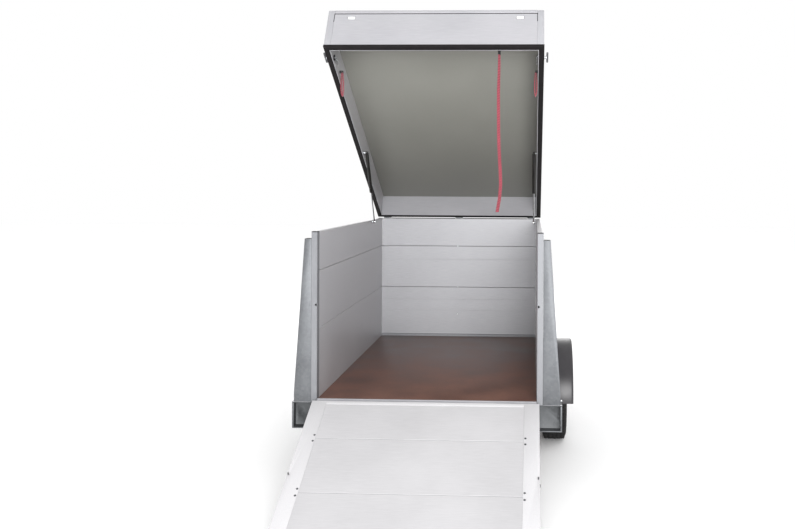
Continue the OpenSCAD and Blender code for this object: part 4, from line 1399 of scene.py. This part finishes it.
@dataclass
class Wheels:
    """Road wheels: treaded tyres, pressed rims and hubs."""

    bench: Bench
    places: Places
    lugs: Lugs
    track: float = 752.5
    centre: tuple[float, float] = (920.0, -192.4)
    radius: float = 273.6
    half: float = 77.5
    bead: float = 165.4

    def section(self) -> list[tuple[float, float]]:
        """Gives the tyre's section as pairs of place across it and radius."""
        r, h, b = self.radius - 7.0, self.half, self.bead
        outside = [(b + 0, -55), (b + 12, -55.5), (b + 20, -62), (b + 24, -67), (b + 28, -67.4),
                   (b + 36, -73), (b + 46, -76.6),
                   (b + 56, -h), (b + 66, -h), (b + 68, -h + 1.2), (b + 72, -h + 1.2), (b + 74, -h),
                   (b + 80, -h + 1.5),
                   (r - 8, -h + 8), (r - 2, -60), (r, -46), (r + 0.6, -24), (r + 0.8, 0)]
        full = outside + [(rr, -x) for rr, x in reversed(outside[:-1])]
        return [(x, rr) for rr, x in full] + [(38, b), (42, b + 12), (62, b + 50), (56, r - 18), (0, r - 8),
                                              (-56, r - 18), (-62, b + 50), (-42, b + 12), (-38, b)]

    def tyre(self, side: str, at: Matrix) -> None:
        """Builds a tyre with two rows of shoulder blocks and three of centre blocks."""
        parts = [(moved(turned(self.section(), 96, closed=True), at), Shelf.tyre)]
        top = (self.radius - 3.7) * MM
        rows = ((-54, 22, 15, 0.30, 0.0), (-27, 21, 17, -0.25, 0.4), (0, 19, 19, 0.25, 0.1),
                (27, 21, 17, -0.25, 0.7), (54, 22, 15, 0.30, 0.5))
        for shift, width, length, skew, phase in rows:
            drop = 1.4 if abs(shift) > 40 else 0.0
            ring = self.lugs.ring(Shelf.tyre, Radius=top - drop * MM, Width=width * MM, Length=length * MM,
                                  Height=7.0 * MM,
                                  Shift=shift * MM, Skew=skew, Phase=phase * math.tau / 72, Count=72)
            parts.append((moved(ring, at), Shelf.tyre))
        self.bench.piece(f"tyre_tread_{side}", f"wheel_{side}", parts, [f"tyre_{side}"], "tyre_rubber",
                         smooth=24)

    def build(self) -> None:
        """Builds both wheels."""
        for side, mirror in SIDES:
            self.tyre(side, self.places.body @ mirror @ spot(self.track, *self.centre))
            self.bench.soften(f"rim_{side}", f"wheel_{side}", Shelf.enamel, 0.8, "rim_steel")
            self.bench.soften(f"hub_{side}", f"wheel_{side}", Shelf.zinc, 0.8, "bright_zinc")


# ---------------------------------------------------------------- studio


@dataclass
class Studio:
    """Camera, soft lights, pale floor and a white surround."""

    places: Places
    sensor_mm: float = 36.0
    lens_mm: float = 38.726
    shift: tuple[float, float] = (-0.12604, -0.09019)
    stand_m: tuple[float, float, float] = (0.5989, -4.8566, 1.2279)
    yaw: float = -0.0404
    pitch: float = 0.008
    roll: float = 0.0049

    def camera(self) -> None:
        """Stands the camera behind the trailer, level with the load."""
        data = bpy.data.cameras.new("camera")
        data.sensor_width = self.sensor_mm
        data.lens = self.lens_mm
        data.shift_x, data.shift_y = self.shift
        level = Vector((math.cos(self.yaw), -math.sin(self.yaw), 0.0))
        ahead = Vector((math.sin(self.yaw), math.cos(self.yaw), 0.0))
        up = Vector((0.0, 0.0, 1.0))
        forward = math.cos(self.pitch) * ahead - math.sin(self.pitch) * up
        top = math.sin(self.pitch) * ahead + math.cos(self.pitch) * up
        c, s = math.cos(self.roll), math.sin(self.roll)
        axes = (c * level + s * top, c * top - s * level, -forward)
        place = self.places.body @ Vector(self.stand_m)
        matrix = Matrix([[axes[j][i] for j in range(3)] + [place[i]] for i in range(3)] + [[0, 0, 0, 1]])
        thing = bpy.data.objects.new("camera", data)
        thing.matrix_world = matrix
        bpy.context.scene.collection.objects.link(thing)
        bpy.context.scene.camera = thing

    def lamp(self, name: str, place: Point, aim: Point, size: float, watts: float) -> None:
        """Hangs one square soft box.

        Args:
            name: The lamp's name.
            place: Where it hangs, in metres.
            aim: The point that it faces.
            size: Its side, in metres.
            watts: Its power.
        """
        data = bpy.data.lights.new(name, "AREA")
        data.size = size
        data.energy = watts
        thing = bpy.data.objects.new(name, data)
        thing.location = place
        thing.rotation_euler = (Vector(aim) - Vector(place)).to_track_quat("-Z", "Y").to_euler()
        bpy.context.scene.collection.objects.link(thing)

    def build(self) -> None:
        """Sets the studio up."""
        self.camera()
        bpy.context.scene.view_settings.view_transform = "Standard"
        material = bpy.data.materials.new("pale studio floor")
        material.use_nodes = True
        shader = material.node_tree.nodes["Principled BSDF"]
        shader.inputs["Base Color"].default_value = srgb("#ffffff")
        shader.inputs["Roughness"].default_value = 0.9
        mesh = bpy.data.meshes.new("studio_floor")
        mesh.from_pydata([(-30, -30, 0), (30, -30, 0), (30, 30, 0), (-30, 30, 0)], [], [(0, 1, 2, 3)])
        mesh.materials.append(material)
        floor = bpy.data.objects.new("studio_floor", mesh)
        bpy.context.scene.collection.objects.link(floor)
        world = bpy.data.worlds.new("surround")
        world.use_nodes = True
        world.node_tree.nodes["Background"].inputs["Color"].default_value = (1.0, 1.0, 1.0, 1.0)
        world.node_tree.nodes["Background"].inputs["Strength"].default_value = 1.0
        bpy.context.scene.world = world
        self.lamp("front", (1.9, -11.8, 2.6), (0, 0.6, 1.1), 4.5, 1350)
        self.lamp("back", (0.0, 7.0, 3.0), (0, 0, 0.8), 4.0, 120)


def main() -> None:
    """Builds the trailer's looks in order and reports each piece."""
    logging.basicConfig(level=logging.INFO, format="%(name)s: %(message)s")
    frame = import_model()
    places = Places(frame)
    bench = Bench(frame, Shelf())
    Studio(places).build()
    PullStrap(bench, places).build()
    screws = Fasteners(bench)
    for part in (Walls(bench, places, screws), Deck(bench, places), Brackets(bench, places, screws),
                 Underframe(bench),
                 Coupling(bench), Lid(bench, places), Struts(bench), Ramp(bench, places, screws),
                 Guards(bench, places, screws), Wheels(bench, places, Lugs(bench))):
        part.build()
        LOG.info("%s done", type(part).__name__)


if __name__ == "__main__":
    main()
